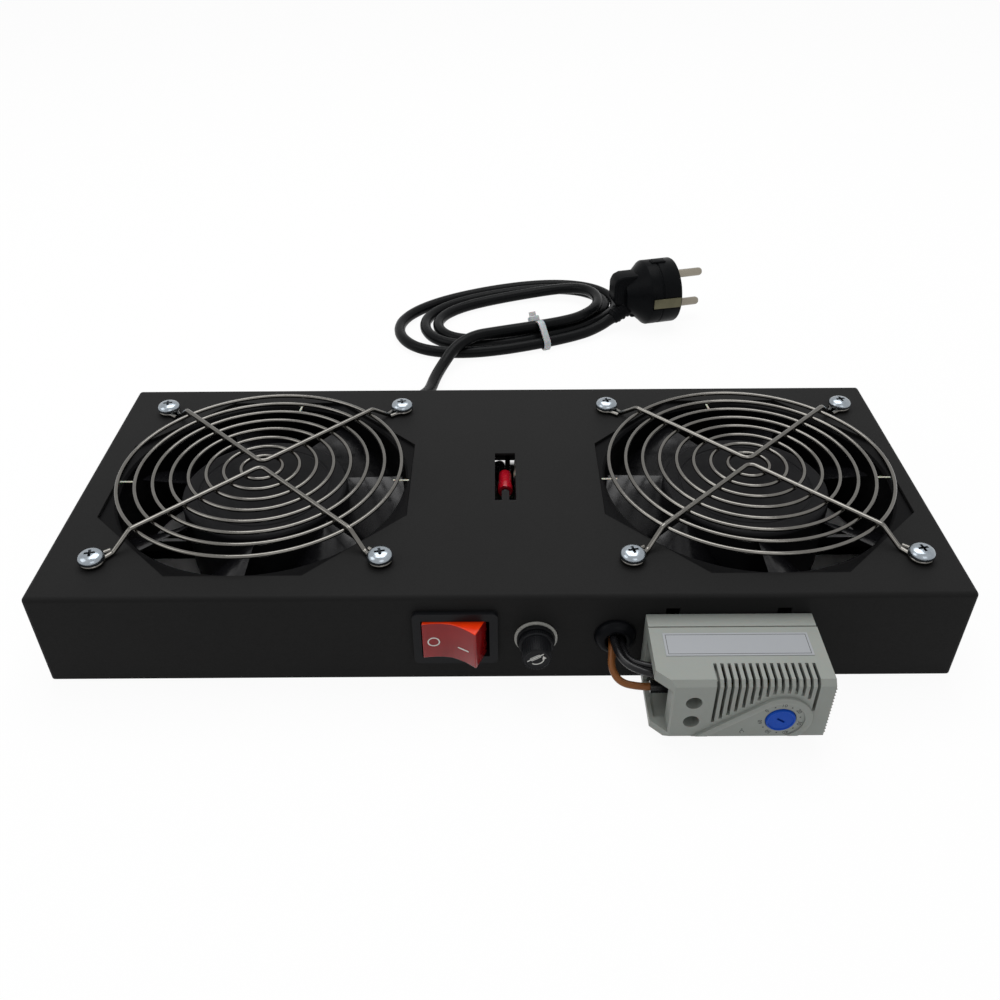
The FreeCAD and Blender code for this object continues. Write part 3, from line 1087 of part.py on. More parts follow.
# Write the sub-parts -------------------------------------------------------------------------

doc.recompute()
for item in doc.Objects:
    if "Invalid" in item.State or "Error" in item.State:
        raise RuntimeError(f"{item.Name} failed: {item.State}")
for item in nodes:
    if item.Shape.isNull() or not item.Shape.isValid():
        raise RuntimeError(f"{item.Label} has no valid shape")
os.makedirs("parts", exist_ok=True)
for item in nodes:
    item.Shape.exportStep(f"parts/{item.Label}.step")
print(len(nodes), "sub-parts written")
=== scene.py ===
"""Rack fan tray as it looks: powder-coated tray, guarded fans, front controls and mains lead."""

import logging
from collections.abc import Iterable, Sequence
from dataclasses import dataclass
from enum import Enum
from math import atan2, copysign, cos, degrees, hypot, pi, radians, sin, sqrt, tan, tau

import bmesh
import bpy
from mathutils import Matrix, Vector


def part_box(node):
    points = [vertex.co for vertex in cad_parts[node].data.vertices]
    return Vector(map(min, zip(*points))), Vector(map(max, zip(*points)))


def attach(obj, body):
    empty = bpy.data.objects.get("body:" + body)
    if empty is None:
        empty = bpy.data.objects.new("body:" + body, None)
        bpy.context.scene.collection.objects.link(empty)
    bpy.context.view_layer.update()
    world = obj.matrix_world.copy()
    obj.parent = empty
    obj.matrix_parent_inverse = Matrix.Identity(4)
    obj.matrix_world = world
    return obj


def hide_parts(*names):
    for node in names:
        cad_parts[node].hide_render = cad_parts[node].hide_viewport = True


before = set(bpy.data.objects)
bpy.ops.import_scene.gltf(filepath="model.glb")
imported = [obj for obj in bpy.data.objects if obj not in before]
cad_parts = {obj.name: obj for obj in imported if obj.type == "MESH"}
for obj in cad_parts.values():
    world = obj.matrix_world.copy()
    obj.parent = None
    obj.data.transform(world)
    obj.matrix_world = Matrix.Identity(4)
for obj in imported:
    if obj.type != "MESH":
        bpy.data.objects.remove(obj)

MM = 0.001
INK_THICKNESS = 0.06
SIZE_OF_CAPS = 1.4
LOG = logging.getLogger("rack_fan_tray")
Point = tuple[float, float, float]
Flat = tuple[float, float]
Piece = bpy.types.Object
Tree = bpy.types.NodeTree
Socket = bpy.types.NodeSocket


# Finishes ------------------------------------------------------------------------------------


def linear(code: str) -> tuple[float, float, float, float]:
    """Turn an sRGB hex colour into linear light.

    Args:
        code: Six hex digits.

    Returns:
        Linear red, green, blue and an alpha of 1.
    """
    parts = [int(code[i:i + 2], 16) / 255 for i in (0, 2, 4)]
    red, green, blue = (p / 12.92 if p <= 0.04045 else ((p + 0.055) / 1.055) ** 2.4 for p in parts)
    return red, green, blue, 1.0


def add_node(tree: Tree, kind: str, feeds: dict[str | int, object] | None = None,
             **settings: object) -> bpy.types.Node:
    """Add a node to a tree with its settings and links.

    Args:
        tree: Material or geometry tree.
        kind: Node type.
        feeds: Input name or number, to a value or to the socket that feeds it.
        settings: Properties of the node.

    Returns:
        The new node.
    """
    item = tree.nodes.new(kind)
    for name, value in settings.items():
        setattr(item, name, value)
    for name, value in (feeds or {}).items():
        if isinstance(value, Socket):
            tree.links.new(value, item.inputs[name])
        else:
            item.inputs[name].default_value = value
    return item


class Grain(Enum):
    """How the small relief of a finish runs."""

    FINE = (1.0, 1.0, 1.0)
    ALONG_X = (0.04, 1.0, 1.0)
    STACKED_Z = (0.02, 0.02, 1.0)


@dataclass(frozen=True)
class Finish:
    """One real surface: its colours, gloss and relief, with lengths in millimetres."""

    name: str
    colour: str
    shade: str
    roughness: float
    blotch: float = 18.0
    metallic: float = 0.0
    specular: float = 0.5
    grain: float = 0.5
    depth: float = 0.004
    run: Grain = Grain.FINE
    uneven: float = 0.06
    transmission: float = 0.0
    ior: float = 1.5
    scatter: float = 0.0
    glow: float = 0.0

    def material(self) -> bpy.types.Material:
        """Build the material once, or find it again.

        Returns:
            The material.
        """
        title = f"{self.name}_finish"
        made = bpy.data.materials.get(title)
        if made is not None:
            return made
        made = bpy.data.materials.new(title)
        made.use_nodes = True
        tree = made.node_tree
        tree.nodes.clear()
        place = add_node(tree, "ShaderNodeTexCoord")
        cloud = add_node(tree, "ShaderNodeTexNoise", {
            "Vector": place.outputs["Object"], "Scale": 1 / (self.blotch * MM), "Detail": 4.0,
            "Roughness": 0.6})
        tone = add_node(tree, "ShaderNodeMix", {
            "Factor": cloud.outputs["Fac"], 6: linear(self.colour), 7: linear(self.shade)},
            data_type="RGBA")
        stretch = add_node(tree, "ShaderNodeMapping", {
            "Vector": place.outputs["Object"], "Scale": self.run.value})
        relief = add_node(tree, "ShaderNodeTexNoise", {
            "Vector": stretch.outputs["Vector"], "Scale": 1 / (self.grain * MM), "Detail": 3.0})
        gloss = add_node(tree, "ShaderNodeMapRange", {
            "Value": relief.outputs["Fac"], "From Min": 0.3, "From Max": 0.7,
            "To Min": max(self.roughness - self.uneven, 0.02),
            "To Max": min(self.roughness + self.uneven, 1.0)})
        bump = add_node(tree, "ShaderNodeBump", {
            "Height": relief.outputs["Fac"], "Distance": self.depth * MM, "Strength": 1.0})
        skin = add_node(tree, "ShaderNodeBsdfPrincipled", {
            "Base Color": tone.outputs[2], "Metallic": self.metallic, "IOR": self.ior,
            "Roughness": gloss.outputs["Result"], "Normal": bump.outputs["Normal"],
            "Specular IOR Level": self.specular, "Transmission Weight": self.transmission,
            "Subsurface Weight": self.scatter, "Subsurface Scale": 0.004,
            "Emission Color": linear(self.colour), "Emission Strength": self.glow})
        add_node(tree, "ShaderNodeOutputMaterial", {"Surface": skin.outputs["BSDF"]})
        return made


# Polyester powder coat on steel: matt black with a fine orange-peel that breaks up the light.
POWDER_COAT = Finish("powder_coat_black", "1a1a1a", "1e1e1e", 0.6, blotch=35.0, specular=0.06,
                     grain=0.7, depth=0.03, uneven=0.05)
# Stove-enamelled die-cast aluminium: satin black, slightly rippled.
ENAMELLED_CASTING = Finish("enamelled_casting_black", "070708", "0c0c0d", 0.36, grain=1.4,
                           depth=0.02, specular=0.03)
# Glass-filled polyamide, injection moulded: glossy black that mirrors the room softly.
IMPELLER_NYLON = Finish("impeller_nylon_black", "0c0c0e", "141416", 0.22, grain=2.5, depth=0.02,
                        blotch=30.0, specular=0.22)
# The hub of the impeller: the same nylon with a finer, greyer sheen from its textured tool.
HUB_NYLON = Finish("hub_nylon_grey_black", "141415", "19191b", 0.42, depth=0.008, specular=0.06)
# Bright nickel on drawn steel wire: mirror gloss with faint drawing lines.
NICKEL_WIRE = Finish("bright_nickel_wire", "74726e", "5a5854", 0.12, metallic=1.0, grain=0.8,
                     depth=0.01, blotch=6.0)
# Zinc plate, blue passivated: cool grey metal, a little cloudy.
ZINC_PLATE = Finish("blue_zinc_plate", "a0a7ad", "7b838a", 0.22, blotch=2.0, metallic=1.0,
                    grain=0.35)
# Zinc of the cross recesses, painted darker as shade in the hollows.
PAINTED_SHADE_ZINC = Finish("zinc_with_painted_recess_shade", "565b60", "43474c", 0.4, blotch=1.5, metallic=1.0,
                     grain=0.35)
# Turned and ground steel of the motor parts.
GROUND_STEEL = Finish("ground_steel", "a9a9a9", "8d8d8d", 0.3, metallic=1.0, grain=0.4,
                      run=Grain.STACKED_Z)
# Electrical sheet stacked half a millimetre at a time, edges showing.
LAMINATIONS = Finish("stacked_electrical_steel", "4b4b4d", "2f2f31", 0.45, metallic=1.0,
                     blotch=4.0, depth=0.12, run=Grain.STACKED_Z)
# Enamelled copper wire wound flat.
COPPER_WINDING = Finish("enamelled_copper_winding", "9b4a20", "6e2f12", 0.28, metallic=0.8,
                        blotch=3.0, grain=0.4, depth=0.12, run=Grain.STACKED_Z)
# Oil-soaked sintered bronze.
SINTERED_BRONZE = Finish("sintered_bronze", "8c6a3c", "6b4f2c", 0.5, metallic=0.9, grain=0.3,
                         depth=0.03)
# Tinned brass tabs.
TINNED_BRASS = Finish("tinned_brass", "b9b8b0", "9a978c", 0.3, metallic=1.0)
# Stamped brass, bare.
STAMPED_BRASS = Finish("stamped_brass", "b08d4b", "8c6c34", 0.34, metallic=1.0, grain=0.6)
# Dull brass strip of the plug, tarnished.
TARNISHED_BRASS = Finish("tarnished_brass", "66634f", "504d3d", 0.42, metallic=0.9, blotch=4.0,
                         grain=0.4)
# Nickel-plated brass pins, rubbed by sockets.
RUBBED_NICKEL = Finish("rubbed_nickel", "979184", "79736a", 0.2, metallic=1.0,
                       run=Grain.ALONG_X)
# Moulded polyamide of switch and fuse holder: spark-eroded matt black.
MOULDED_NYLON = Finish("moulded_nylon_black", "121315", "18191b", 0.4, grain=0.3, depth=0.012,
                       specular=0.1)
# Red polycarbonate, clear enough for light to gather in its edges.
RED_LENS = Finish("red_polycarbonate", "a31a1c", "861014", 0.2, blotch=9.0, grain=3.0,
                  depth=0.006, transmission=0.25, ior=1.58, scatter=0.3, specular=0.16)
# The same lens on the rocker's top faces, painted lighter orange with a faint glow: painted light
# from above.
RED_LENS_PAINTED_LIGHT = Finish("red_polycarbonate_painted_light", "e83a08", "c62608", 0.2, blotch=4.0, grain=3.0,
                     depth=0.006, ior=1.58, scatter=0.3, glow=0.12, specular=0.16)
# Soda glass of lamp and fuse link.
CLEAR_GLASS = Finish("clear_glass", "f2f4f2", "e8ecea", 0.04, transmission=1.0, grain=5.0,
                     depth=0.001)
# Vulcanised fibre washer, pale grey.
FIBRE_WASHER = Finish("pale_fibre_washer", "a9a9a6", "97978f", 0.6, blotch=2.0, grain=0.25,
                      depth=0.02)
# Natural rubber, black with a dull bloom.
BLACK_RUBBER = Finish("black_rubber", "0a0b0d", "111215", 0.36, blotch=3.0, grain=0.3,
                      depth=0.012, specular=0.04)
# Acrylonitrile butadiene styrene, pebble grey with a fine eroded texture.
PEBBLE_ABS = Finish("pebble_grey_abs", "8f938f", "888c86", 0.42, blotch=14.0, grain=0.35,
                    depth=0.014, scatter=0.05, specular=0.25)
# Printed metallised label film.
LABEL_FILM = Finish("silver_label_film", "999ca0", "94979b", 0.34, blotch=20.0, grain=0.8,
                    depth=0.0005, specular=0.3)
# Blue polyoxymethylene of the setting dial.
BLUE_ACETAL = Finish("blue_acetal", "0d4cb8", "0a42a4", 0.36, blotch=5.0, grain=0.4, depth=0.002,
                     specular=0.12)
# Tampo-printed ink, pale or dark.
WHITE_INK = Finish("white_print", "dcdcd8", "cfcfca", 0.5, grain=0.3)
BLACK_INK = Finish("black_print", "2a2b2b", "343535", 0.5, grain=0.3)
GREY_INK = Finish("grey_print", "2b2b2d", "353537", 0.5, grain=0.3)
# Soft polyvinyl chloride insulation of the leads and the mains cord.
BROWN_PVC = Finish("brown_pvc", "85532a", "734522", 0.32, blotch=5.0, grain=0.8, depth=0.008,
                   specular=0.2)
BLACK_PVC = Finish("black_pvc", "0f0f11", "161618", 0.27, blotch=6.0, grain=1.2, depth=0.01,
                   specular=0.22)
GREY_PVC = Finish("grey_pvc", "4a4c4e", "404244", 0.35, blotch=5.0, grain=0.8, depth=0.008)
BLUE_PVC = Finish("blue_pvc", "1f4f9c", "1a4386", 0.32, blotch=5.0, grain=0.8, depth=0.008)
STRIPED_PVC = Finish("green_yellow_pvc", "3f7f2a", "d8c21f", 0.32, blotch=3.0, grain=0.8,
                     depth=0.008)
CORD_SHEATH = Finish("cord_sheath_pvc", "0a0b0c", "111213", 0.3, blotch=9.0, grain=1.6,
                     depth=0.02, specular=0.06)
# Vinyl sleeve of the crimp splices.
RED_VINYL = Finish("red_vinyl", "c11327", "a50e20", 0.25, blotch=4.0, grain=0.9, depth=0.02,
                   scatter=0.15)
PALE_NYLON_SLEEVE = Finish("pale_nylon_sleeve", "c9c4b4", "b8b3a3", 0.35, grain=0.9, scatter=0.2)
# Natural polyamide of the cable tie: milky white.
NATURAL_NYLON = Finish("natural_nylon", "b6babd", "a4a9ad", 0.3, blotch=3.0, grain=0.8,
                       depth=0.01, scatter=0.35)
# Moulded polyvinyl chloride of the plug: a touch duller than the cord.
PLUG_PVC = Finish("plug_pvc", "0a0b0c", "101113", 0.34, blotch=7.0, grain=0.45, depth=0.008,
                  specular=0.03)
# Brass and nickel-iron strip of the thermostat.
BIMETAL = Finish("bimetal", "9a8c6a", "83775b", 0.32, metallic=1.0, grain=0.6,
                 run=Grain.ALONG_X)


# Meshes --------------------------------------------------------------------------------------


def settle(piece: Piece, body: str, *stands_for: str) -> Piece:
    """Let a finished piece move with a body in place of construction solids.

    Args:
        piece: The finished piece, with its place in its mesh.
        body: Body that it rides on.
        stands_for: Construction nodes that it hides.

    Returns:
        The piece.
    """
    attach(piece, body)
    if stands_for:
        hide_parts(*stands_for)
    LOG.info("%s rides on %s", piece.name, body)
    return piece


def linked(name: str, data: bpy.types.ID) -> Piece:
    """Make an object and put it in the scene.

    Args:
        name: Object name.
        data: Its mesh, curve, text, lamp or camera.

    Returns:
        The object.
    """
    item = bpy.data.objects.new(name, data)
    bpy.context.scene.collection.objects.link(item)
    return item


def mesh_piece(name: str, points: Sequence[Sequence[float]], faces: Sequence[Sequence[int]],
               finish: Finish) -> Piece:
    """Make a mesh piece from points in millimetres.

    Args:
        name: Piece name.
        points: Corners in millimetres.
        faces: Corner numbers of each face.
        finish: Its finish.

    Returns:
        The piece.
    """
    mesh = bpy.data.meshes.new(name)
    mesh.from_pydata([tuple(c * MM for c in p) for p in points], [], [tuple(f) for f in faces])
    mesh.materials.append(finish.material())
    return linked(name, mesh)


def tidy_normals(item: Piece, angle: float = 32.0) -> Piece:
    """Merge doubles, turn faces outwards and shade smooth below an angle.

    Args:
        item: Mesh piece.
        angle: Edges sharper than this many degrees stay crisp.

    Returns:
        The piece.
    """
    work = bmesh.new()
    work.from_mesh(item.data)
    bmesh.ops.remove_doubles(work, verts=work.verts, dist=1e-6)
    bmesh.ops.recalc_face_normals(work, faces=work.faces)
    limit = radians(angle)
    for face in work.faces:
        face.smooth = True
    for edge in work.edges:
        edge.smooth = len(edge.link_faces) == 2 and edge.calc_face_angle(0.0) < limit
    work.to_mesh(item.data)
    work.free()
    return item


def applied(item: Piece) -> Piece:
    """Turn a piece with live modifiers, or a curve or text, into a plain mesh.

    Args:
        item: Piece to convert.

    Returns:
        A mesh piece of the same name, at the origin.
    """
    graph = bpy.context.evaluated_depsgraph_get()
    shape = item.evaluated_get(graph)
    mesh = bpy.data.meshes.new_from_object(shape, depsgraph=graph)
    mesh.transform(item.matrix_world)
    name = item.name
    bpy.data.objects.remove(item)
    mesh.name = name
    return linked(name, mesh)


def eased(item: Piece, width: float, segments: int = 2,
          angle: float = 30.0) -> Piece:
    """Round the sharp edges of a piece.

    Args:
        item: Mesh piece.
        width: Width of the rounding in millimetres.
        segments: Steps in the rounding.
        angle: Edges flatter than this many degrees are left.

    Returns:
        The finished piece.
    """
    rounding = item.modifiers.new("edge_rounding", "BEVEL")
    rounding.width = width * MM
    rounding.segments = segments
    rounding.limit_method = "ANGLE"
    rounding.angle_limit = radians(angle)
    rounding.use_clamp_overlap = True
    return tidy_normals(applied(item), 40.0)


def copied(node: str, finish: Finish) -> Piece:
    """Copy a construction node with its doubles merged and its flat faces whole.

    Args:
        node: Construction node.
        finish: Its finish.

    Returns:
        The copy.
    """
    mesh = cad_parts[node].data.copy()
    mesh.materials.clear()
    mesh.materials.append(finish.material())
    work = bmesh.new()
    work.from_mesh(mesh)
    bmesh.ops.remove_doubles(work, verts=work.verts, dist=2e-6)
    bmesh.ops.dissolve_limit(work, angle_limit=radians(0.5), verts=work.verts,
                             edges=work.edges)
    work.to_mesh(mesh)
    work.free()
    for name in [a.name for a in mesh.attributes if a.name == "custom_normal"]:
        mesh.attributes.remove(mesh.attributes[name])
    return linked(node + "_finished", mesh)


def softened(node: str, width: float, finish: Finish, segments: int = 2,
             tools: Sequence[Piece] = ()) -> None:
    """Copy a construction node of the tray, round its edges and let it stand for the node.

    Args:
        node: Construction node.
        width: Rounding of its edges in millimetres.
        finish: Its finish.
        segments: Steps in the rounding.
        tools: Pieces that cut it first.
    """
    item = cut(copied(node, finish), *tools)
    settle(flattened(eased(item, width, segments)), "tray", node)


def flattened(item: Piece) -> Piece:
    """Let the large faces of a rounded piece set its shading, so that they look flat.

    Args:
        item: Mesh piece with rounded edges.

    Returns:
        The finished piece.
    """
    weight = item.modifiers.new("large_faces_first", "WEIGHTED_NORMAL")
    weight.mode = "FACE_AREA"
    weight.weight = 100
    weight.keep_sharp = True
    return applied(item)


def turning(axis: Sequence[float], spin: float = 0.0) -> Matrix:
    """Rotation that takes +Z to an axis, after a spin about it.

    Args:
        axis: Direction for +Z.
        spin: Degrees about the axis first.

    Returns:
        A 4 by 4 rotation.
    """
    lean = Vector(axis).to_track_quat("Z", "Y").to_matrix().to_4x4()
    return lean @ Matrix.Rotation(radians(spin), 4, "Z")


def placed(item: Piece, at: Point, turn: Matrix | None = None) -> Piece:
    """Put a mesh piece in its place, inside its mesh.

    Args:
        item: Mesh piece made about its own middle.
        at: Place of that middle, in millimetres.
        turn: Rotation about it.

    Returns:
        The piece.
    """
    item.data.transform(Matrix.Translation(Vector(at) * MM) @ (turn or Matrix.Identity(4)))
    return item


def lathed(name: str, outline: Sequence[Flat], finish: Finish, at: Point = (0, 0, 0),
           axis: Sequence[float] = (0, 0, 1), steps: int = 96,
           closed: bool = False) -> Piece:
    """Turn an outline about an axis.

    Args:
        name: Piece name.
        outline: Radius and height pairs, in millimetres, from the bottom up the outside.
        finish: Its finish.
        at: Where the axis starts.
        axis: Direction of the height.
        steps: Number of facets round it.
        closed: Whether the outline joins its own start, as a ring's does.

    Returns:
        The piece.
    """
    points: list[Point] = []
    rows: list[list[int]] = []
    for radius, height in outline:
        if radius < 1e-6:
            rows.append([len(points)] * steps)
            points.append((0.0, 0.0, height))
            continue
        rows.append(list(range(len(points), len(points) + steps)))
        points += [(radius * cos(tau * i / steps), radius * sin(tau * i / steps),
                    height) for i in range(steps)]
    faces = []
    for low, high in zip(rows, rows[1:] + (rows[:1] if closed else [])):
        for i in range(steps):
            j = (i + 1) % steps
            corners = [low[i], low[j], high[j], high[i]]
            face = [c for k, c in enumerate(corners) if c not in corners[:k]]
            if len(face) > 2:
                faces.append(face)
    item = mesh_piece(name, points, faces, finish)
    return tidy_normals(placed(item, at, turning(axis)), 35.0)


def prism(name: str, outline: Sequence[Flat], low: float, high: float,
          finish: Finish) -> Piece:
    """Extrude a flat outline along Z.

    Args:
        name: Piece name.
        outline: X and Y pairs in millimetres.
        low: Bottom height.
        high: Top height.
        finish: Its finish.

    Returns:
        The piece.
    """
    count = len(outline)
    points = [(x, y, low) for x, y in outline] + [(x, y, high) for x, y in outline]
    faces = [list(range(count))[::-1], list(range(count, 2 * count))]
    faces += [[i, (i + 1) % count, (i + 1) % count + count, i + count] for i in range(count)]
    return mesh_piece(name, points, faces, finish)


def rectangle(left: float, right: float, near: float, far: float) -> list[Flat]:
    """Corners of a rectangle in millimetres, one after another."""
    return [(left, near), (right, near), (right, far), (left, far)]


def rounded_outline(width: float, height: float, corner: float) -> list[Flat]:
    """Outline of a rectangle with round corners about its middle, in millimetres.

    Args:
        width: Whole width.
        height: Whole height.
        corner: Radius of the corners.

    Returns:
        Its corners.
    """
    spots, steps = [], 6
    for quarter, (sx, sy) in enumerate(((1, 1), (-1, 1), (-1, -1), (1, -1))):
        for i in range(steps + 1):
            a = pi / 2 * (quarter + i / steps)
            spots.append((sx * (width / 2 - corner) + corner * cos(a),
                          sy * (height / 2 - corner) + corner * sin(a)))
    return spots


def joined(name: str, items: Iterable[Piece]) -> Piece:
    """Join mesh pieces into one object.

    Args:
        name: Name of the joined piece.
        items: Mesh pieces; they are used up.

    Returns:
        The joined piece.
    """
    items = list(items)
    work = bmesh.new()
    finishes: list[bpy.types.Material] = []
    for item in items:
        shift = {}
        for index, skin in enumerate(item.data.materials):
            if skin not in finishes:
                finishes.append(skin)
            shift[index] = finishes.index(skin)
        before = len(work.faces)
        work.from_mesh(item.data)
        work.faces.ensure_lookup_table()
        for face in work.faces[before:]:
            face.material_index = shift.get(face.material_index, 0)
    mesh = bpy.data.meshes.new(name)
    work.to_mesh(mesh)
    work.free()
    for skin in finishes:
        mesh.materials.append(skin)
    for item in items:
        bpy.data.objects.remove(item)
    return linked(name, mesh)


def cut(item: Piece, *tools: Piece) -> Piece:
    """Cut a mesh piece with others, which are used up.

    Args:
        item: Piece to cut.
        tools: Pieces that cut it, in turn.

    Returns:
        The cut piece.
    """
    for tool in tools:
        carving = item.modifiers.new("carving", "BOOLEAN")
        carving.operation = "DIFFERENCE"
        carving.solver = "EXACT"
        carving.object = tool
        item = applied(item)
        bpy.data.objects.remove(tool)
    return item


def spline(name: str, points: Sequence[Point], radius: float, finish: Finish,
           steps: int = 10) -> Piece:
    """Smooth curve with a round section.

    Args:
        name: Piece name.
        points: Control points in millimetres.
        radius: Section radius in millimetres.
        finish: Its finish.
        steps: Resolution of each span.

    Returns:
        A curve piece.
    """
    data = bpy.data.curves.new(name, "CURVE")
    data.dimensions = "3D"
    data.resolution_u = steps
    data.render_resolution_u = steps
    data.bevel_depth = radius * MM
    data.bevel_resolution = 5
    data.use_fill_caps = True
    line = data.splines.new("NURBS")
    line.points.add(len(points) - 1)
    for spot, (x, y, z) in zip(line.points, points):
        spot.co = (x * MM, y * MM, z * MM, 1.0)
    line.order_u = 3
    line.use_endpoint_u = True
    line.use_smooth = True
    data.materials.append(finish.material())
    return linked(name, data)


def lettered(name: str, words: str, height: float, finish: Finish, at: Point, axis: Point,
             spin: float) -> Piece:
    """Printed figure or sign on a surface.

    Args:
        name: Piece name.
        words: Generic figure or sign.
        height: Cap height in millimetres.
        finish: Ink.
        at: Middle of the print.
        axis: Direction that it faces.
        spin: Degrees about that direction.

    Returns:
        A mesh piece.
    """
    data = bpy.data.curves.new(name, "FONT")
    data.body = words
    data.size = height * SIZE_OF_CAPS * MM
    data.align_x = "CENTER"
    data.align_y = "CENTER"
    data.extrude = INK_THICKNESS / 2 * MM
    data.materials.append(finish.material())
    return placed(applied(linked(name, data)), at, turning(axis, spin))


# Studio --------------------------------------------------------------------------------------


@dataclass(frozen=True)
class CameraPlace:
    """Where the camera stands, in millimetres and degrees."""

    stand: Point = (0.065, -305.8, 269.2)
    down: float = 36.7
    right: float = 0.023
    roll: float = -0.344
    lens: float = 34.89
    sensor: float = 36.0


@dataclass(frozen=True)
class SoftBox:
    """One square studio lamp."""

    name: str
    at: Point
    side: float
    power: float


@dataclass
class Studio:
    """White table, white surround, soft lamps and the camera."""

    place: CameraPlace
    FLOOR_DROP = 0.15
    HALF_TABLE = 6000.0
    WHITENESS = 0.94
    # Shares of the tray's half span between which the table begins to shine.
    SHINE_FROM, SHINE_TO = 0.93, 0.99
    AIM = (0.0, 60.0, 20.0)
    LAMPS = (
        SoftBox("lamp_above_rear", (0.0, 420.0, 1150.0), 900.0, 10.0),
        SoftBox("lamp_left", (-900.0, -150.0, 750.0), 600.0, 2.2),
        SoftBox("lamp_front", (350.0, -1100.0, 900.0), 700.0, 2.0),
    )

    def camera(self) -> None:
        """Make the camera and use it."""
        data = bpy.data.cameras.new("camera")
        data.lens = self.place.lens
        data.sensor_width = self.place.sensor
        item = linked("camera", data)
        turn = (Matrix.Rotation(radians(-self.place.right), 4, "Z")
                @ Matrix.Rotation(radians(90 - self.place.down), 4, "X")
                @ Matrix.Rotation(radians(self.place.roll), 4, "Z"))
        item.matrix_world = Matrix.Translation(Vector(self.place.stand) * MM) @ turn
        bpy.context.scene.camera = item

    def looked_at(self, tree: Tree) -> Socket:
        """Tell the rays that look at the white room, straight or in metal and glass, from others.

        Args:
            tree: Material or world tree.

        Returns:
            1 for a camera, glossy or transmission ray, else 0.
        """
        path = add_node(tree, "ShaderNodeLightPath")
        either = add_node(tree, "ShaderNodeMath", {
            0: path.outputs["Is Camera Ray"], 1: path.outputs["Is Glossy Ray"]},
            operation="MAXIMUM")
        return add_node(tree, "ShaderNodeMath", {
            0: either.outputs[0], 1: path.outputs["Is Transmission Ray"]},
            operation="MAXIMUM").outputs[0]

    def surround(self) -> None:
        """Make the world: white where seen, softly graded where it lights."""
        world = bpy.data.worlds.new("white_room")
        bpy.context.scene.world = world
        world.use_nodes = True
        tree = world.node_tree
        tree.nodes.clear()
        place = add_node(tree, "ShaderNodeTexCoord")
        height = add_node(tree, "ShaderNodeSeparateXYZ", {0: place.outputs["Generated"]})
        grade = add_node(tree, "ShaderNodeMapRange", {
            "Value": height.outputs["Z"], "From Min": -0.2, "From Max": 1.0, "To Min": 0.12,
            "To Max": 0.45})
        seen = add_node(tree, "ShaderNodeMix", {
            "Factor": self.looked_at(tree), 2: grade.outputs["Result"], 3: 1.0})
        light = add_node(tree, "ShaderNodeBackground", {
            "Color": linear("ffffff"), "Strength": seen.outputs[0]})
        add_node(tree, "ShaderNodeOutputWorld", {"Surface": light.outputs["Background"]})

    def floor(self) -> None:
        """Make the white table: it shines where it is looked at, but not beneath the tray.

        From below it is clear.
        """
        skin = bpy.data.materials.new("white_table")
        skin.use_nodes = True
        tree = skin.node_tree
        tree.nodes.clear()
        low, high = span("tray_shell")
        place = add_node(tree, "ShaderNodeTexCoord")
        centred = add_node(tree, "ShaderNodeMapping", {
            "Vector": place.outputs["Object"],
            "Location": (-(low.x + high.x) / 2 * MM, -(low.y + high.y) / 2 * MM, 0.0)})
        apart = add_node(tree, "ShaderNodeSeparateXYZ", {0: centred.outputs["Vector"]})
        shares = []
        for axis, half_span in (("X", (high.x - low.x) / 2), ("Y", (high.y - low.y) / 2)):
            size = add_node(tree, "ShaderNodeMath", {0: apart.outputs[axis]}, operation="ABSOLUTE")
            shares.append(add_node(tree, "ShaderNodeMath", {
                0: size.outputs[0], 1: half_span * MM}, operation="DIVIDE"))
        reach = add_node(tree, "ShaderNodeMath", {
            0: shares[0].outputs[0], 1: shares[1].outputs[0]}, operation="MAXIMUM")
        outside = add_node(tree, "ShaderNodeMapRange", {
            "Value": reach.outputs[0], "From Min": self.SHINE_FROM, "From Max": self.SHINE_TO,
            "To Min": 0.0, "To Max": self.WHITENESS})
        lit = add_node(tree, "ShaderNodeMath", {
            0: outside.outputs["Result"], 1: self.looked_at(tree)}, operation="MULTIPLY")
        paper = add_node(tree, "ShaderNodeBsdfPrincipled", {
            "Base Color": linear("f4f4f4"), "Roughness": 0.6})
        shine = add_node(tree, "ShaderNodeEmission", {"Color": linear("ffffff"), "Strength": 1.0})
        either = add_node(tree, "ShaderNodeMixShader", {
            0: lit.outputs[0], 1: paper.outputs["BSDF"], 2: shine.outputs["Emission"]})
        clear = add_node(tree, "ShaderNodeBsdfTransparent")
        below = add_node(tree, "ShaderNodeNewGeometry")
        one_sided = add_node(tree, "ShaderNodeMixShader", {
            0: below.outputs["Backfacing"], 1: either.outputs["Shader"], 2: clear.outputs["BSDF"]})
        add_node(tree, "ShaderNodeOutputMaterial", {"Surface": one_sided.outputs["Shader"]})
        mesh = bpy.data.meshes.new("table")
        half, height = self.HALF_TABLE * MM, -self.FLOOR_DROP * MM
        mesh.from_pydata([(x, y, height) for x, y in rectangle(-half, half, -half, half)], [],
                         [(0, 1, 2, 3)])
        mesh.materials.append(skin)
        item = linked("table", mesh)

    def lamps(self) -> None:
        """Hang the soft lamps, aimed at the middle of the tray."""
        for lamp in self.LAMPS:
            data = bpy.data.lights.new(lamp.name, "AREA")
            data.shape = "SQUARE"
            data.size = lamp.side * MM
            data.energy = lamp.power
            item = linked(lamp.name, data)
            aim = Vector(self.AIM) - Vector(lamp.at)
            item.matrix_world = (Matrix.Translation(Vector(lamp.at) * MM)
                                 @ aim.to_track_quat("-Z", "Y").to_matrix().to_4x4())

    def build(self) -> None:
        """Build the studio."""
        self.camera()
        self.surround()
        self.floor()
        self.lamps()
        bpy.context.scene.view_settings.view_transform = "Standard"
        LOG.info("studio ready")


# Repeated pieces -----------------------------------------------------------------------------


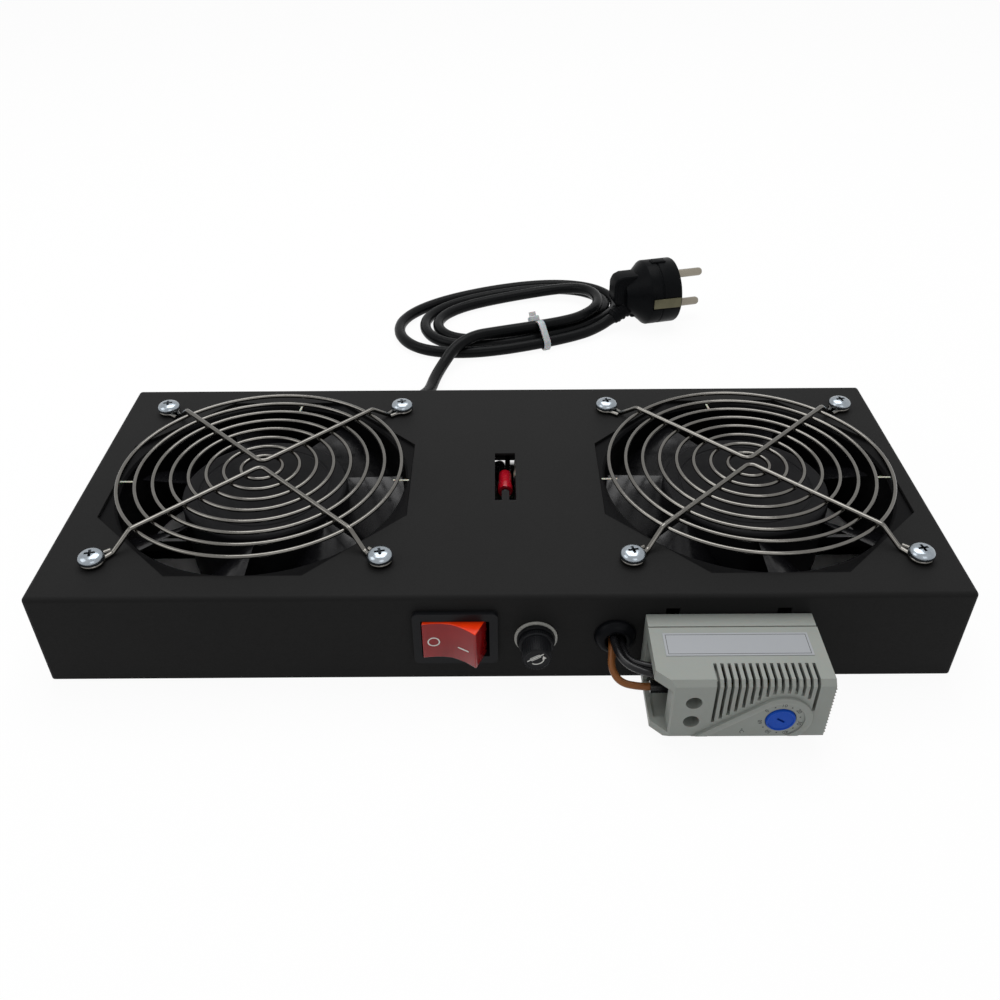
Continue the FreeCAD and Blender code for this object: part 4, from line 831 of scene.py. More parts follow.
class Repeat:
    """Geometry-node trees for what repeats round an axis, along a line or as bent wire."""

    def _tree(self, name: str, inputs: dict[str, str]) -> tuple[Tree, bpy.types.Node]:
        """Start a tree with its group inputs.

        Args:
            name: Tree name.
            inputs: Socket types by input name, after the geometry.

        Returns:
            The tree and its input node.
        """
        tree = bpy.data.node_groups.new(name, "GeometryNodeTree")
        tree.interface.new_socket("Geometry", in_out="OUTPUT", socket_type="NodeSocketGeometry")
        tree.interface.new_socket("Geometry", in_out="INPUT", socket_type="NodeSocketGeometry")
        for label, kind in inputs.items():
            tree.interface.new_socket(label, in_out="INPUT", socket_type=kind)
        return tree, add_node(tree, "NodeGroupInput")

    def _close(self, tree: Tree, shape: Socket,
               finish: Socket) -> Tree:
        """End a tree in realised instances with their material.

        Args:
            tree: Tree to end.
            shape: Socket that holds the geometry.
            finish: Socket that holds the material.

        Returns:
            The tree.
        """
        real = add_node(tree, "GeometryNodeRealizeInstances", {"Geometry": shape})
        skin = add_node(tree, "GeometryNodeSetMaterial", {
            "Geometry": real.outputs["Geometry"], "Material": finish})
        add_node(tree, "NodeGroupOutput", {"Geometry": skin.outputs["Geometry"]})
        return tree

    def copies_tree(self) -> Tree:
        """Make the tree that copies a piece along a line or round Z, growing it as it goes.

        Returns:
            The tree.
        """
        tree, start = self._tree("copies", {
            "Count": "NodeSocketInt", "Step": "NodeSocketVector", "Turn": "NodeSocketFloat",
            "Growth": "NodeSocketFloat", "Finish": "NodeSocketMaterial"})
        row = add_node(tree, "GeometryNodeMeshLine", {
            "Count": start.outputs["Count"], "Offset": start.outputs["Step"]})
        index = add_node(tree, "GeometryNodeInputIndex")
        share = add_node(tree, "ShaderNodeMath", {
            0: index.outputs["Index"], 1: start.outputs["Count"]}, operation="DIVIDE")
        angle = add_node(tree, "ShaderNodeMath", {
            0: share.outputs[0], 1: start.outputs["Turn"]}, operation="MULTIPLY")
        turn = add_node(tree, "ShaderNodeCombineXYZ", {"Z": angle.outputs[0]})
        size = add_node(tree, "ShaderNodeMath", {
            0: index.outputs["Index"], 1: start.outputs["Growth"], 2: 1.0},
            operation="MULTIPLY_ADD")
        copies = add_node(tree, "GeometryNodeInstanceOnPoints", {
            "Points": row.outputs["Mesh"], "Instance": start.outputs["Geometry"],
            "Rotation": turn.outputs[0], "Scale": size.outputs[0]})
        return self._close(tree, copies.outputs["Instances"], start.outputs["Finish"])

    def guard_tree(self) -> Tree:
        """Make the tree that turns edges into bent wires and adds concentric rings.

        Returns:
            The tree.
        """
        tree, start = self._tree("wire_guard", {
            "Rings": "NodeSocketInt", "First": "NodeSocketFloat", "Step": "NodeSocketFloat",
            "Lift": "NodeSocketFloat", "Ring Wire": "NodeSocketFloat",
            "Spoke Wire": "NodeSocketFloat", "Bend": "NodeSocketFloat",
            "Finish": "NodeSocketMaterial"})
        line = add_node(tree, "GeometryNodeMeshToCurve", {"Mesh": start.outputs["Geometry"]})
        bent = add_node(tree, "GeometryNodeFilletCurve", {
            "Curve": line.outputs["Curve"], "Radius": start.outputs["Bend"], "Count": 5,
            "Limit Radius": True}, mode="POLY")
        thick = add_node(tree, "GeometryNodeCurvePrimitiveCircle", {
            "Resolution": 14, "Radius": start.outputs["Spoke Wire"]})
        spokes = add_node(tree, "GeometryNodeCurveToMesh", {
            "Curve": bent.outputs["Curve"], "Profile Curve": thick.outputs["Curve"],
            "Fill Caps": True})
        spots = add_node(tree, "GeometryNodePoints", {"Count": start.outputs["Rings"]})
        index = add_node(tree, "GeometryNodeInputIndex")
        radius = add_node(tree, "ShaderNodeMath", {
            0: index.outputs["Index"], 1: start.outputs["Step"], 2: start.outputs["First"]},
            operation="MULTIPLY_ADD")
        unit = add_node(tree, "GeometryNodeCurvePrimitiveCircle", {
            "Resolution": 112, "Radius": 1.0})
        circles = add_node(tree, "GeometryNodeInstanceOnPoints", {
            "Points": spots.outputs[0], "Instance": unit.outputs["Curve"],
            "Scale": radius.outputs[0]})
        loose = add_node(tree, "GeometryNodeRealizeInstances", {
            "Geometry": circles.outputs["Instances"]})
        thin = add_node(tree, "GeometryNodeCurvePrimitiveCircle", {
            "Resolution": 12, "Radius": start.outputs["Ring Wire"]})
        rings = add_node(tree, "GeometryNodeCurveToMesh", {
            "Curve": loose.outputs["Geometry"], "Profile Curve": thin.outputs["Curve"]})
        up = add_node(tree, "ShaderNodeCombineXYZ", {"Z": start.outputs["Lift"]})
        lifted = add_node(tree, "GeometryNodeTransform", {
            "Geometry": rings.outputs["Mesh"], "Translation": up.outputs[0]})
        both = add_node(tree, "GeometryNodeJoinGeometry", {"Geometry": spokes.outputs["Mesh"]})
        tree.links.new(lifted.outputs["Geometry"], both.inputs["Geometry"])
        return self._close(tree, both.outputs["Geometry"], start.outputs["Finish"])

    def run(self, item: Piece, tree: Tree, **inputs: object) -> Piece:
        """Run a tree on a piece and keep the outcome as a plain mesh.

        Args:
            item: Piece that the tree starts from.
            tree: The tree, which is used up.
            inputs: Values of the tree's inputs, with _ for a space in a name.

        Returns:
            The finished mesh piece.
        """
        maker = item.modifiers.new(tree.name, "NODES")
        maker.node_group = tree
        wanted = {name.replace("_", " "): value for name, value in inputs.items()}
        for socket in tree.interface.items_tree:
            if socket.in_out == "INPUT" and socket.name in wanted:
                maker[socket.identifier] = wanted[socket.name]
        made = applied(item)
        bpy.data.node_groups.remove(tree)
        return made

    def copies(self, item: Piece, count: int, finish: Finish, step: Point = (0.0, 0.0, 0.0),
               turn: float = 0.0, growth: float = 0.0) -> Piece:
        """Copy a piece along a line or round Z.

        Args:
            item: First piece.
            count: Number of copies.
            finish: Their finish.
            step: From one copy to the next, in millimetres.
            turn: Whole turn that the copies share, in radians.
            growth: Share of the first by which each copy is larger than the last.

        Returns:
            One mesh piece.
        """
        return self.run(item, self.copies_tree(), Count=count, Step=tuple(c * MM for c in step),
                        Turn=turn, Growth=growth, Finish=finish.material())


REPEAT = Repeat()


# Construction nodes --------------------------------------------------------------------------


def span(node: str) -> tuple[Vector, Vector]:
    """Lowest and highest corner of a construction node, in millimetres."""
    low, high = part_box(node)
    return Vector(low) / MM, Vector(high) / MM


def on_face(node: str, face: float) -> Point:
    """Middle of a construction node in X and Z, on a face across Y.

    Args:
        node: Construction node.
        face: Place of the face in millimetres.

    Returns:
        The point.
    """
    low, high = span(node)
    return (low.x + high.x) / 2, face, (low.z + high.z) / 2


def dress(node: str, finish: Finish) -> None:
    """Give a construction node its material where it stays as it is.

    Args:
        node: Construction node.
        finish: Its finish.
    """
    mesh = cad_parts[node].data
    mesh.materials.clear()
    mesh.materials.append(finish.material())


# Nodes that stay as they are, by finish.
DRESSED: dict[Finish, tuple[str, ...]] = {
    CLEAR_GLASS: ("switch_lamp", "fuse_glass"),
    STAMPED_BRASS: ("switch_contact", "dial_spindle", "snap_contact"),
    TINNED_BRASS: ("switch_terminals", "fuse_end_caps", "fuse_terminals", "fan_terminals",
                   "terminal_clamps", "earth_lug"),
    MOULDED_NYLON: ("fuse_nut",),
    GREY_PVC: ("lead_grey",),
    BLACK_PVC: ("fan_leads",),
    BIMETAL: ("bimetal_strip",),
    ZINC_PLATE: ("terminal_screws", "earth_nut"),
    LAMINATIONS: ("fan_stator_cores",),
    COPPER_WINDING: ("fan_windings",),
}


# Mains lead ----------------------------------------------------------------------------------


@dataclass(frozen=True)
class LeadSizes:
    """Mains lead in millimetres: cord, coil and tie."""

    cord_r: float = 3.25
    middle_y: float = 17.1
    run: tuple[Point, ...] = (
        (-46.0, 94.0, 15.0), (-45.2, 106.0, 13.8), (-41.0, 118.5, 8.0), (-37.2, 132.0, 4.0),
        (-35.2, 146.5, 3.9), (-31.2, 160.5, 4.8), (-24.6, 172.5, 9.4), (-14.4, 181.8, 11.2),
        (-1.4, 187.6, 10.6))
    coil: Flat = (7.5, 222.0)
    coil_turn: float = 22.0
    quarter_points: int = 4
    plug_run: tuple[Point, ...] = ((30.0, -38.5, 3.8), (44.0, -35.0, 5.0), (53.0, -31.7, 6.9),
                                   (60.0, -31.0, 8.5))
    tie_along: float = 5.0
    tie_w: float = 3.8
    tie_t: float = 1.2
    tie_gap: float = 0.25
    tie_head: float = 6.0
    tie_lean: float = -38.0
    tie_seat: Flat = (-24.0, 10.6)


@dataclass(frozen=True)
class Reach:
    """How far the coil reaches from its middle where it crosses one of its axes."""

    out: float
    height: float


@dataclass
class MainsLead:
    """Free cord in three loose turns that a cable tie holds on one side."""

    sizes: LeadSizes
    # In order: near side, right end, far side, left end, and so on for each turn.
    REACHES = (
        Reach(33.0, 9.9), Reach(57.0, 9.2), Reach(26.5, 3.6), Reach(46.5, 3.4),
        Reach(26.2, 3.9), Reach(63.5, 3.4), Reach(33.5, 3.4), Reach(54.5, 3.4),
        Reach(33.0, 3.9), Reach(70.4, 3.4), Reach(40.2, 3.4), Reach(70.8, 3.4),
        Reach(39.8, 3.9))
    FULLNESS = 0.88

    def __post_init__(self) -> None:
        """Find the coil's turn and middle."""
        self.turn = Matrix.Rotation(radians(self.sizes.coil_turn), 4, "Z")
        self.middle = Vector((self.sizes.coil[0], self.sizes.middle_y + self.sizes.coil[1], 0.0))

    def on_coil(self, along: float, across: float, height: float) -> Point:
        """Point of the coil's frame, in the part's frame.

        Args:
            along: Along the coil's long way.
            across: Across it.
            height: Above the table.

        Returns:
            The point.
        """
        return tuple(self.middle + self.turn @ Vector((along, across, height)))

    def route(self) -> list[Point]:
        """Control points of the whole cord, from the gland to the plug.

        Returns:
            Points in millimetres.
        """
        points = [(x, self.sizes.middle_y + y, z) for x, y, z in self.sizes.run]
        count = self.sizes.quarter_points
        for quarter, (here, there) in enumerate(zip(self.REACHES, self.REACHES[1:])):
            for i in range(1 if quarter == 0 else 0, count):
                angle = pi / 2 * (quarter - 1 + i / count)
                lower = quarter % 2 == 0
                long, wide = (there.out, here.out) if lower else (here.out, there.out)
                rise = (1 - cos(pi * i / count)) / 2
                height = here.height + (there.height - here.height) * rise
                swing = [copysign(abs(f) ** self.FULLNESS, f)
                         for f in (cos(angle), sin(angle))]
                points.append(self.on_coil(long * swing[0], wide * swing[1], height))
        last = self.REACHES[-1]
        points.append(self.on_coil(0.0, -last.out, last.height))
        points += [self.on_coil(*spot) for spot in self.sizes.plug_run]
        return points

    def cord(self) -> Piece:
        """Make the cord.

        Returns:
            The cord as a curve.
        """
        item = spline("mains_lead", self.route(), self.sizes.cord_r, CORD_SHEATH, 12)
        return settle(item, "tray", "mains_cord", "cord_coil")

    def tie(self) -> Piece:
        """Make the cable tie: band round the passes, head and tail.

        Returns:
            The tie.
        """
        size = self.sizes
        outer, top, inner_pass = self.REACHES[12], self.REACHES[0], self.REACHES[4]
        near = size.cord_r + size.tie_gap
        far = near + size.tie_t
        loop: list[tuple[Flat, Flat]] = []
        # Over the three passes from outside to inside, then back beneath, just off the table.
        for reach, start, end in ((outer, 180, 140), (top, 125, 55), (inner_pass, 40, 0),
                                  (inner_pass, 0, -90), (outer, -90, -180)):
            for i in range(5):
                a = radians(start + (end - start) * i / 4)
                y, z, across, up = -reach.out, reach.height, cos(a), sin(a)
                loop.append(((y + near * across, max(z + near * up, 0.4)),
                             (y + far * across, max(z + far * up, 0.05))))
        points, faces, count = [], [], len(loop)
        for side in (-0.5, 0.5):
            along = size.tie_along + side * size.tie_w
            points += [self.on_coil(along, y, z) for (y, z), _ in loop]
            points += [self.on_coil(along, y, z) for _, (y, z) in loop]
        for i in range(count):
            j = (i + 1) % count
            a, b, c, d = i, j, i + count, j + count
            shift = 2 * count
            faces += [(a, b, d, c), (a + shift, c + shift, d + shift, b + shift),
                      (a, a + shift, b + shift, b), (c, d, d + shift, c + shift)]
        band = eased(mesh_piece("tie_band", points, faces, NATURAL_NYLON), 0.25)
        long, wide = size.tie_head / 2, size.tie_head * 0.4
        block = rectangle(-long, long, -wide, wide)
        slot = prism("tie_slot", [(x * 0.7, y * 0.35) for x, y in block], 1.4, 4.0, NATURAL_NYLON)
        head = cut(eased(prism("tie_head", block, -2.8, 2.8, NATURAL_NYLON), 0.7, 3), slot)
        tail = eased(prism("tie_tail", rectangle(-2.0, 2.0, -0.6, 0.6), 0.0, 5.5,
                           NATURAL_NYLON), 0.2)
        lean = self.turn @ Matrix.Rotation(radians(size.tie_lean), 4, "X")
        seat = self.on_coil(size.tie_along, *size.tie_seat)
        made = joined("cable_tie_finished", [band, placed(head, seat, lean),
                                             placed(tail, seat, lean)])
        return settle(tidy_normals(made, 40.0), "tray", "cable_tie")


# Earthed plug --------------------------------------------------------------------------------


@dataclass(frozen=True)
class PlugSizes:
    """Round earthed plug, in millimetres from the middle of its face."""

    face: Point = (104.9, 243.9, 19.0)
    yaw: float = 14.0
    radius: float = 19.0
    body: float = 19.0
    neck: float = 12.0
    neck_r: float = 10.0
    pin_r: float = 2.4
    pin_len: float = 19.0
    pin_pitch: float = 19.0
    strip_w: float = 6.0
    grip_t: float = 11.0
    grip_low: float = -5.4
    grip_high: float = 13.5
    grip_len: float = 38.0
    relief_end: Point = (-38.8, -5.2, -12.1)


@dataclass
class EarthedPlug:
    """Moulded plug with its pins, earth strips, wing grip and ribbed relief."""

    sizes: PlugSizes

    def seated(self, item: Piece) -> Piece:
        """Move a piece made about the middle of the plug's face to the plug's place."""
        turn = Matrix.Rotation(radians(self.sizes.yaw), 4, "Z")
        return placed(item, self.sizes.face, turn)

    def moulding(self) -> Piece:
        """Make the round body with its face recess, earth notches and shoulder.

        Returns:
            The moulding.
        """
        size = self.sizes
        back = -size.body - size.neck
        outline = [(0.0, back), (size.neck_r - 1.0, back), (size.neck_r, back + 1.0),
                   (13.0, -size.body - 6.0), (17.2, -size.body - 1.4),
                   (size.radius - 0.4, -size.body), (size.radius, -size.body + 0.8),
                   (size.radius, -12.4), (size.radius - 0.5, -12.0), (size.radius - 0.5, -11.4),
                   (size.radius, -11.0), (size.radius, -1.2), (size.radius - 0.4, -0.4),
                   (size.radius - 1.2, 0.0), (9.2, 0.0), (8.8, -0.3), (8.6, -2.6), (3.4, -2.8),
                   (3.0, -3.1), (2.8, -9.0), (0.0, -9.0)]
        body = lathed("plug_round", outline, PLUG_PVC, axis=(1, 0, 0), steps=128)
        back, floor, past = -size.body * 0.97, size.radius - 1.3, 24.0
        notches = [prism("notch", rectangle(back, 1.0, way * floor, way * past),
                         -size.strip_w / 2 - 0.5, size.strip_w / 2 + 0.5, PLUG_PVC)
                   for way in (-1, 1)]
        return cut(body, *map(tidy_normals, notches))

    def grip(self) -> Piece:
        """Make the flat wing behind the body, with three ribs to hold it by.

        Returns:
            The wing.
        """
        size = self.sizes
        low, high, end, half = size.grip_low, size.grip_high, -size.grip_len, size.grip_t / 2
        side = [(-9.5, -13.5), (-27.0, -13.5), (-27.3, low), (-34.0, low), (-36.5, low + 1.0),
                (end, low + 3.5), (end, high - 5.0), (end + 1.5, high - 1.5), (-33.0, high),
                (-24.0, high), (-16.0, high + 1.5), (-9.5, high + 1.5)]
        wing = eased(prism("plug_wing", side, -half, half, PLUG_PVC), 1.8, 4)
        upright = Matrix.Rotation(radians(90), 4, "X")
        placed(wing, (0, 0, 0), upright)
        rib = eased(prism("rib", rectangle(-0.7, 0.7, 0.0, 10.0), -half - 0.35, half + 0.35,
                          PLUG_PVC), 0.35)
        placed(rib, (-35.5, 0, -1.0), upright)
        return joined("plug_grip", [wing, REPEAT.copies(rib, 4, PLUG_PVC, (3.0, 0.0, 0.0))])

    def relief(self) -> Piece:
        """Make the ribbed strain relief that the cord leaves by.

        Returns:
            The relief.
        """
        size = self.sizes
        start = Vector((-size.body - 3.0, 0.0, -3.0))
        way = Vector(size.relief_end) - start
        core = lathed("relief_core", [(0.0, 0.0), (6.2, 0.0), (5.2, way.length * 0.5),
                                      (4.2, way.length - 0.6), (3.7, way.length),
                                      (0.0, way.length)], PLUG_PVC, steps=48)
        rib = lathed("relief_rib", [(3.6, -0.95), (6.3, -0.95), (6.8, -0.5), (6.8, 0.5),
                                    (6.3, 0.95), (3.6, 0.95)], PLUG_PVC, steps=48, closed=True)
        ribs = REPEAT.copies(rib, 5, PLUG_PVC, (0.0, 0.0, 3.1), growth=-0.075)
        ribs.data.transform(Matrix.Translation(Vector((0, 0, way.length - 15.2)) * MM))
        made = joined("plug_relief", [core, ribs])
        return placed(made, tuple(start), turning(way))

    def build(self) -> list[Piece]:
        """Build the plug.

        Returns:
            Its pieces.
        """
        size = self.sizes
        tab = eased(prism("plug_tab", rectangle(-15.0, -6.0, -2.6, 2.6), size.radius - 1.5,
                          size.radius + 0.8, PLUG_PVC), 0.5)
        body = self.seated(joined("plug_moulding", [self.moulding(), self.grip(), self.relief(),
                                                    tab]))
        settle(tidy_normals(body, 36.0), "tray", "plug_body")
        tip, rim, back = size.pin_len, size.pin_r + 0.9, -size.body * 0.93
        shapes = (("pin", RUBBED_NICKEL, [
            (0.0, -1.0), (size.pin_r, -1.0), (size.pin_r, tip - 2.0), (2.15, tip - 1.1),
            (1.6, tip - 0.35), (0.8, tip - 0.05), (0.0, tip)]), ("pin_collar", PLUG_PVC, [
                (0.0, -0.2), (rim, -0.2), (rim, 0.15), (size.pin_r, 0.4), (0.0, 0.4)]))
        side = [(back, -1.35), (-3.0, -1.15), (-1.2, -0.6), (-0.9, 0.05), (-2.4, 0.15),
                (-size.body * 0.5, -0.2), (back, -0.5)]
        pins, strips = [], []
        for way in (-1, 1):
            pins += [lathed(name, outline, finish, (0.0, 0.0, way * size.pin_pitch / 2), (1, 0, 0),
                            40) for name, finish, outline in shapes]
            flat = prism("strip", [(x, way * (size.radius + proud)) for x, proud in side],
                         -size.strip_w / 2, size.strip_w / 2, TARNISHED_BRASS)
            strips.append(eased(tidy_normals(flat), 0.2))
        pair = settle(self.seated(joined("plug_pins_finished", pins)), "tray", "plug_pins")
        earth = settle(self.seated(joined("plug_earth_finished", strips)), "tray",
                       "plug_earth_contacts")
        return [body, pair, earth]


# Fans ----------------------------------------------------------------------------------------


class Side(Enum):
    """Which fan, with the hand that its blades turn to."""

    LEFT = 1
    RIGHT = -1


@dataclass(frozen=True)
class FanSizes:
    """Axial fan and finger guard in millimetres, heights from the fan's foot."""

    hub_r: float = 33.5
    hub_base: float = 6.0
    hub_top: float = 35.5
    hub_wall: float = 1.7
    tip_r: float = 56.4
    root_chord: float = 24.0
    tip_chord: float = 37.0
    blade_low: float = 8.0
    blade_high: float = 33.0
    tip_drop: float = 2.5
    camber: float = 2.2
    blade_t: float = 1.6
    blades: int = 7
    phase: float = -5.0
    screw_half: float = 52.5
    rings: int = 8
    ring_first: float = 8.2
    ring_step: float = 6.88
    ring_wire: float = 0.8
    ring_lift: float = 5.8
    spoke_wire: float = 0.95
    eye_r: float = 3.9
    high: float = 7.3
    apex: float = 1.3
    wire_bend: float = 3.0
    crown_r: float = 1.8
    frame_high: float = 38.0
    tick_len: float = 6.5
    tick_half: float = 0.45


@dataclass
class AxialFan:
    """One guarded fan."""

    side: Side
    sizes: FanSizes

    def __post_init__(self) -> None:
        """Find the fan's place."""
        self.name = self.side.name.lower()
        low, high = span(f"fan_{self.name}_frame")
        self.foot = ((low.x + high.x) / 2, (low.y + high.y) / 2, low.z)
        self.plate = span("tray_shell")[1].z

    def hub(self) -> Piece:
        """Make the hub cup with its rounded crown.

        Returns:
            The hub.
        """
        size = self.sizes
        inner, round_r = size.hub_r - size.hub_wall, size.crown_r
        base, top = size.hub_base, size.hub_top
        crown = [(size.hub_r - round_r + round_r * cos(a), top - round_r + round_r * sin(a))
                 for a in (radians(15 * i) for i in range(7))]
        outline = [(inner, base), (size.hub_r - 0.3, base), (size.hub_r, base + 0.3), *crown,
                   (27.2, top), (26.9, top - 0.25), (26.3, top - 0.25), (26.0, top), (0.0, top),
                   (0.0, top - 2.0), (inner, top - 2.0)]
        return lathed("hub", outline, HUB_NYLON, steps=128, closed=True)

    def blade(self) -> Piece:
        """Make one pitched, cambered blade wrapped round the hub.

        Returns:
            The blade.
        """
        size = self.sizes
        hand = self.side.value
        across, along = 8, 14
        root = size.hub_r - 0.7
        points, faces = [], []
        for side in (1, -1):
            for i in range(across + 1):
                share = i / across
                radius = root + (size.tip_r - root) * share
                chord = size.root_chord + (size.tip_chord - size.root_chord) * share
                drop = size.tip_drop * share
                high, low = size.blade_high - drop, size.blade_low + drop
                for k in range(along + 1):
                    s = 1 - 2 * k / along
                    thick = size.blade_t / 2 * max(1 - s ** 4, 0.0) ** 0.5 + 0.12
                    angle = hand * (s * chord / 2 / radius + radians(size.phase))
                    z = (high + low) / 2 + s * (high - low) / 2 + size.camber * (1 - s * s)
                    points.append((radius * cos(angle), radius * sin(angle),
                                   z + side * thick))
        row, layer = along + 1, (across + 1) * (along + 1)
        for i in range(across):
            for k in range(along):
                a = i * row + k
                faces.append((a, a + 1, a + row + 1, a + row))
                faces.append((a + layer, a + layer + row, a + layer + row + 1, a + layer + 1))
        rim = [*range(along)] + [i * row + along for i in range(across)]
        rim += [across * row + k for k in range(along, 0, -1)]
        rim += [i * row for i in range(across, 0, -1)]
        for a, b in zip(rim, rim[1:] + rim[:1]):
            faces.append((a, a + layer, b + layer, b))
        return tidy_normals(mesh_piece("blade", points, faces, IMPELLER_NYLON), 60.0)

    def impeller(self) -> None:
        """Make the turning wheel."""
        blades = REPEAT.copies(self.blade(), self.sizes.blades, IMPELLER_NYLON, turn=tau)
        if self.side is Side.RIGHT:
            blades.data.transform(Matrix.Rotation(pi, 4, "Z"))
        wheel = placed(joined(f"{self.name}_wheel", [self.hub(), blades]), self.foot)
        settle(tidy_normals(wheel, 38.0), f"{self.name}_impeller",
                      f"fan_{self.name}_impeller")

    def ticks(self) -> None:
        """Make the pale ticks on the frame's face, left, right and behind."""
        size = self.sizes
        outer = size.screw_half + 6.6
        line = rectangle(outer - size.tick_len, outer, -size.tick_half, size.tick_half)
        made = []
        for turn in (0.0, 180.0, -96.0 if self.side is Side.LEFT else -84.0):
            mark = eased(prism("tick", line, size.frame_high, size.frame_high + 0.3,
                               PALE_NYLON_SLEEVE), 0.1)
            made.append(placed(mark, self.foot, turning((0, 0, 1), turn)))
        settle(joined(f"{self.name}_mould_marks", made), "tray")

    def spoke(self, way: int) -> list[Point]:
        """Bent wire that runs from eye to eye by way of the guard's middle.

        Args:
            way: 1 for the rear wire, -1 for the front one.

        Returns:
            Its corners, from the middle of the guard's foot.
        """
        size = self.sizes
        wire = size.spoke_wire
        last = size.ring_first + size.ring_step * (size.rings - 1)
        rise_in = (last + 2 * wire) / sqrt(2)
        rise_out = rise_in + size.high * 0.8
        halves = []
        for across in (1, -1):
            centre = Vector((across * size.screw_half, way * size.screw_half, wire + 0.05))
            inward = Vector((-across, -way, 0)).normalized()
            edge = Vector((-way, across, 0)).normalized() * wire * across * way
            foot = Vector((across * rise_out, way * rise_out, wire + 0.05))
            head = Vector((across * rise_in, way * rise_in, size.high))
            start = atan2(inward.y, inward.x)
            eye = [centre + size.eye_r * Vector((cos(a), sin(a), 0)) for a in
                   (start + across * way * radians(24 + 39 * k) for k in range(9))]
            halves.append([foot - edge * 1.03, *eye, foot + edge, head + edge])
        return halves[0] + [Vector((0.0, way * size.apex, size.high))] + halves[1][::-1]

    def guard(self) -> None:
        """Make the finger guard: rings on two bent wires."""
        size = self.sizes
        points, edges = [], []
        for way in (1, -1):
            first = len(points)
            points += [tuple(p * MM) for p in self.spoke(way)]
            edges += [(i, i + 1) for i in range(first, len(points) - 1)]
        mesh = bpy.data.meshes.new("wires")
        mesh.from_pydata(points, edges, [])
        made = REPEAT.run(
            linked(f"{self.name}_guard", mesh), REPEAT.guard_tree(), Rings=size.rings,
            First=size.ring_first * MM, Step=size.ring_step * MM, Lift=size.ring_lift * MM,
            Ring_Wire=size.ring_wire * MM, Spoke_Wire=size.spoke_wire * MM,
            Bend=size.wire_bend * MM, Finish=NICKEL_WIRE.material())
        placed(made, (self.foot[0], self.foot[1], self.plate))
        settle(tidy_normals(made, 60.0), "tray", f"fan_{self.name}_finger_guard")

    def build(self) -> None:
        """Build the fan."""
        softened(f"fan_{self.name}_frame", 0.4, ENAMELLED_CASTING)
        softened(f"fan_{self.name}_spider", 0.4, ENAMELLED_CASTING)
        self.impeller()
        self.ticks()
        self.guard()
        for part, finish in (("rotor_ring", GROUND_STEEL), ("shaft", GROUND_STEEL),
                             ("bearings", SINTERED_BRONZE), ("retaining_clip", GROUND_STEEL)):
            dress(f"fan_{self.name}_{part}", finish)


@dataclass
class GuardScrews:
    """Cross-recess pan-head screws through the guards' eyes."""

    fans: Sequence[AxialFan]
    RECESS_TURN = 12

    def screw(self, half: float) -> Piece:
        """Make one screw at a corner of a guard about its middle.

        Args:
            half: Distance of the screw from the guard's axes.

        Returns:
            The screw.
        """
        dome = [(4.8, 0.0), (4.8, 0.9), (4.6, 1.5), (4.0, 2.2), (3.0, 2.75), (1.6, 3.0), (0.0, 3.0)]
        head = lathed("head", [(0.0, -9.0), (1.9, -9.0), (2.1, -8.7), (2.1, 0.0), *dome],
                      ZINC_PLATE, steps=56)
        for spin in (0, 90):
            arm = prism("arm", rectangle(-2.5, 2.5, -0.6, 0.6), 0.7, 4.0, ZINC_PLATE)
            for spot in arm.data.vertices:
                if spot.co.z < 2 * MM:
                    spot.co.x *= 0.35
                    spot.co.y *= 0.6
            arm = placed(arm, (0, 0, 0), turning((0, 0, 1), spin + self.RECESS_TURN))
            head = cut(head, tidy_normals(arm))
        return placed(head, (half, half, 0))

    def shade_recesses(self, four: Piece, half: float) -> None:
        """Give the walls of the cross recesses a darker zinc, as painted shade.

        Args:
            four: Four screws about a guard's middle.
            half: Distance of a screw from the guard's axes.
        """
        # The darker zinc on the recess walls is painted shade.
        four.data.materials.append(PAINTED_SHADE_ZINC.material())
        for face in four.data.polygons:
            spot = face.center / MM
            out = hypot(abs(spot.x) - half, abs(spot.y) - half)
            if out < 2.7 and 0.3 < spot.z < 3.0 - out * out * 0.12 - 0.2:
                face.material_index = 1

    def build(self) -> Piece:
        """Build all screws.

        Returns:
            The screws as one piece.
        """
        sets = []
        for fan in self.fans:
            four = REPEAT.copies(self.screw(fan.sizes.screw_half), 4, ZINC_PLATE, turn=tau)
            self.shade_recesses(four, fan.sizes.screw_half)
            sets.append(placed(four, (fan.foot[0], fan.foot[1], fan.plate + 2.0)))
        made = tidy_normals(joined("guard_screws_finished", sets), 30.0)
        return settle(made, "tray", "guard_screws")


# Front controls ------------------------------------------------------------------------------

FORWARD = (0.0, -1.0, 0.0)


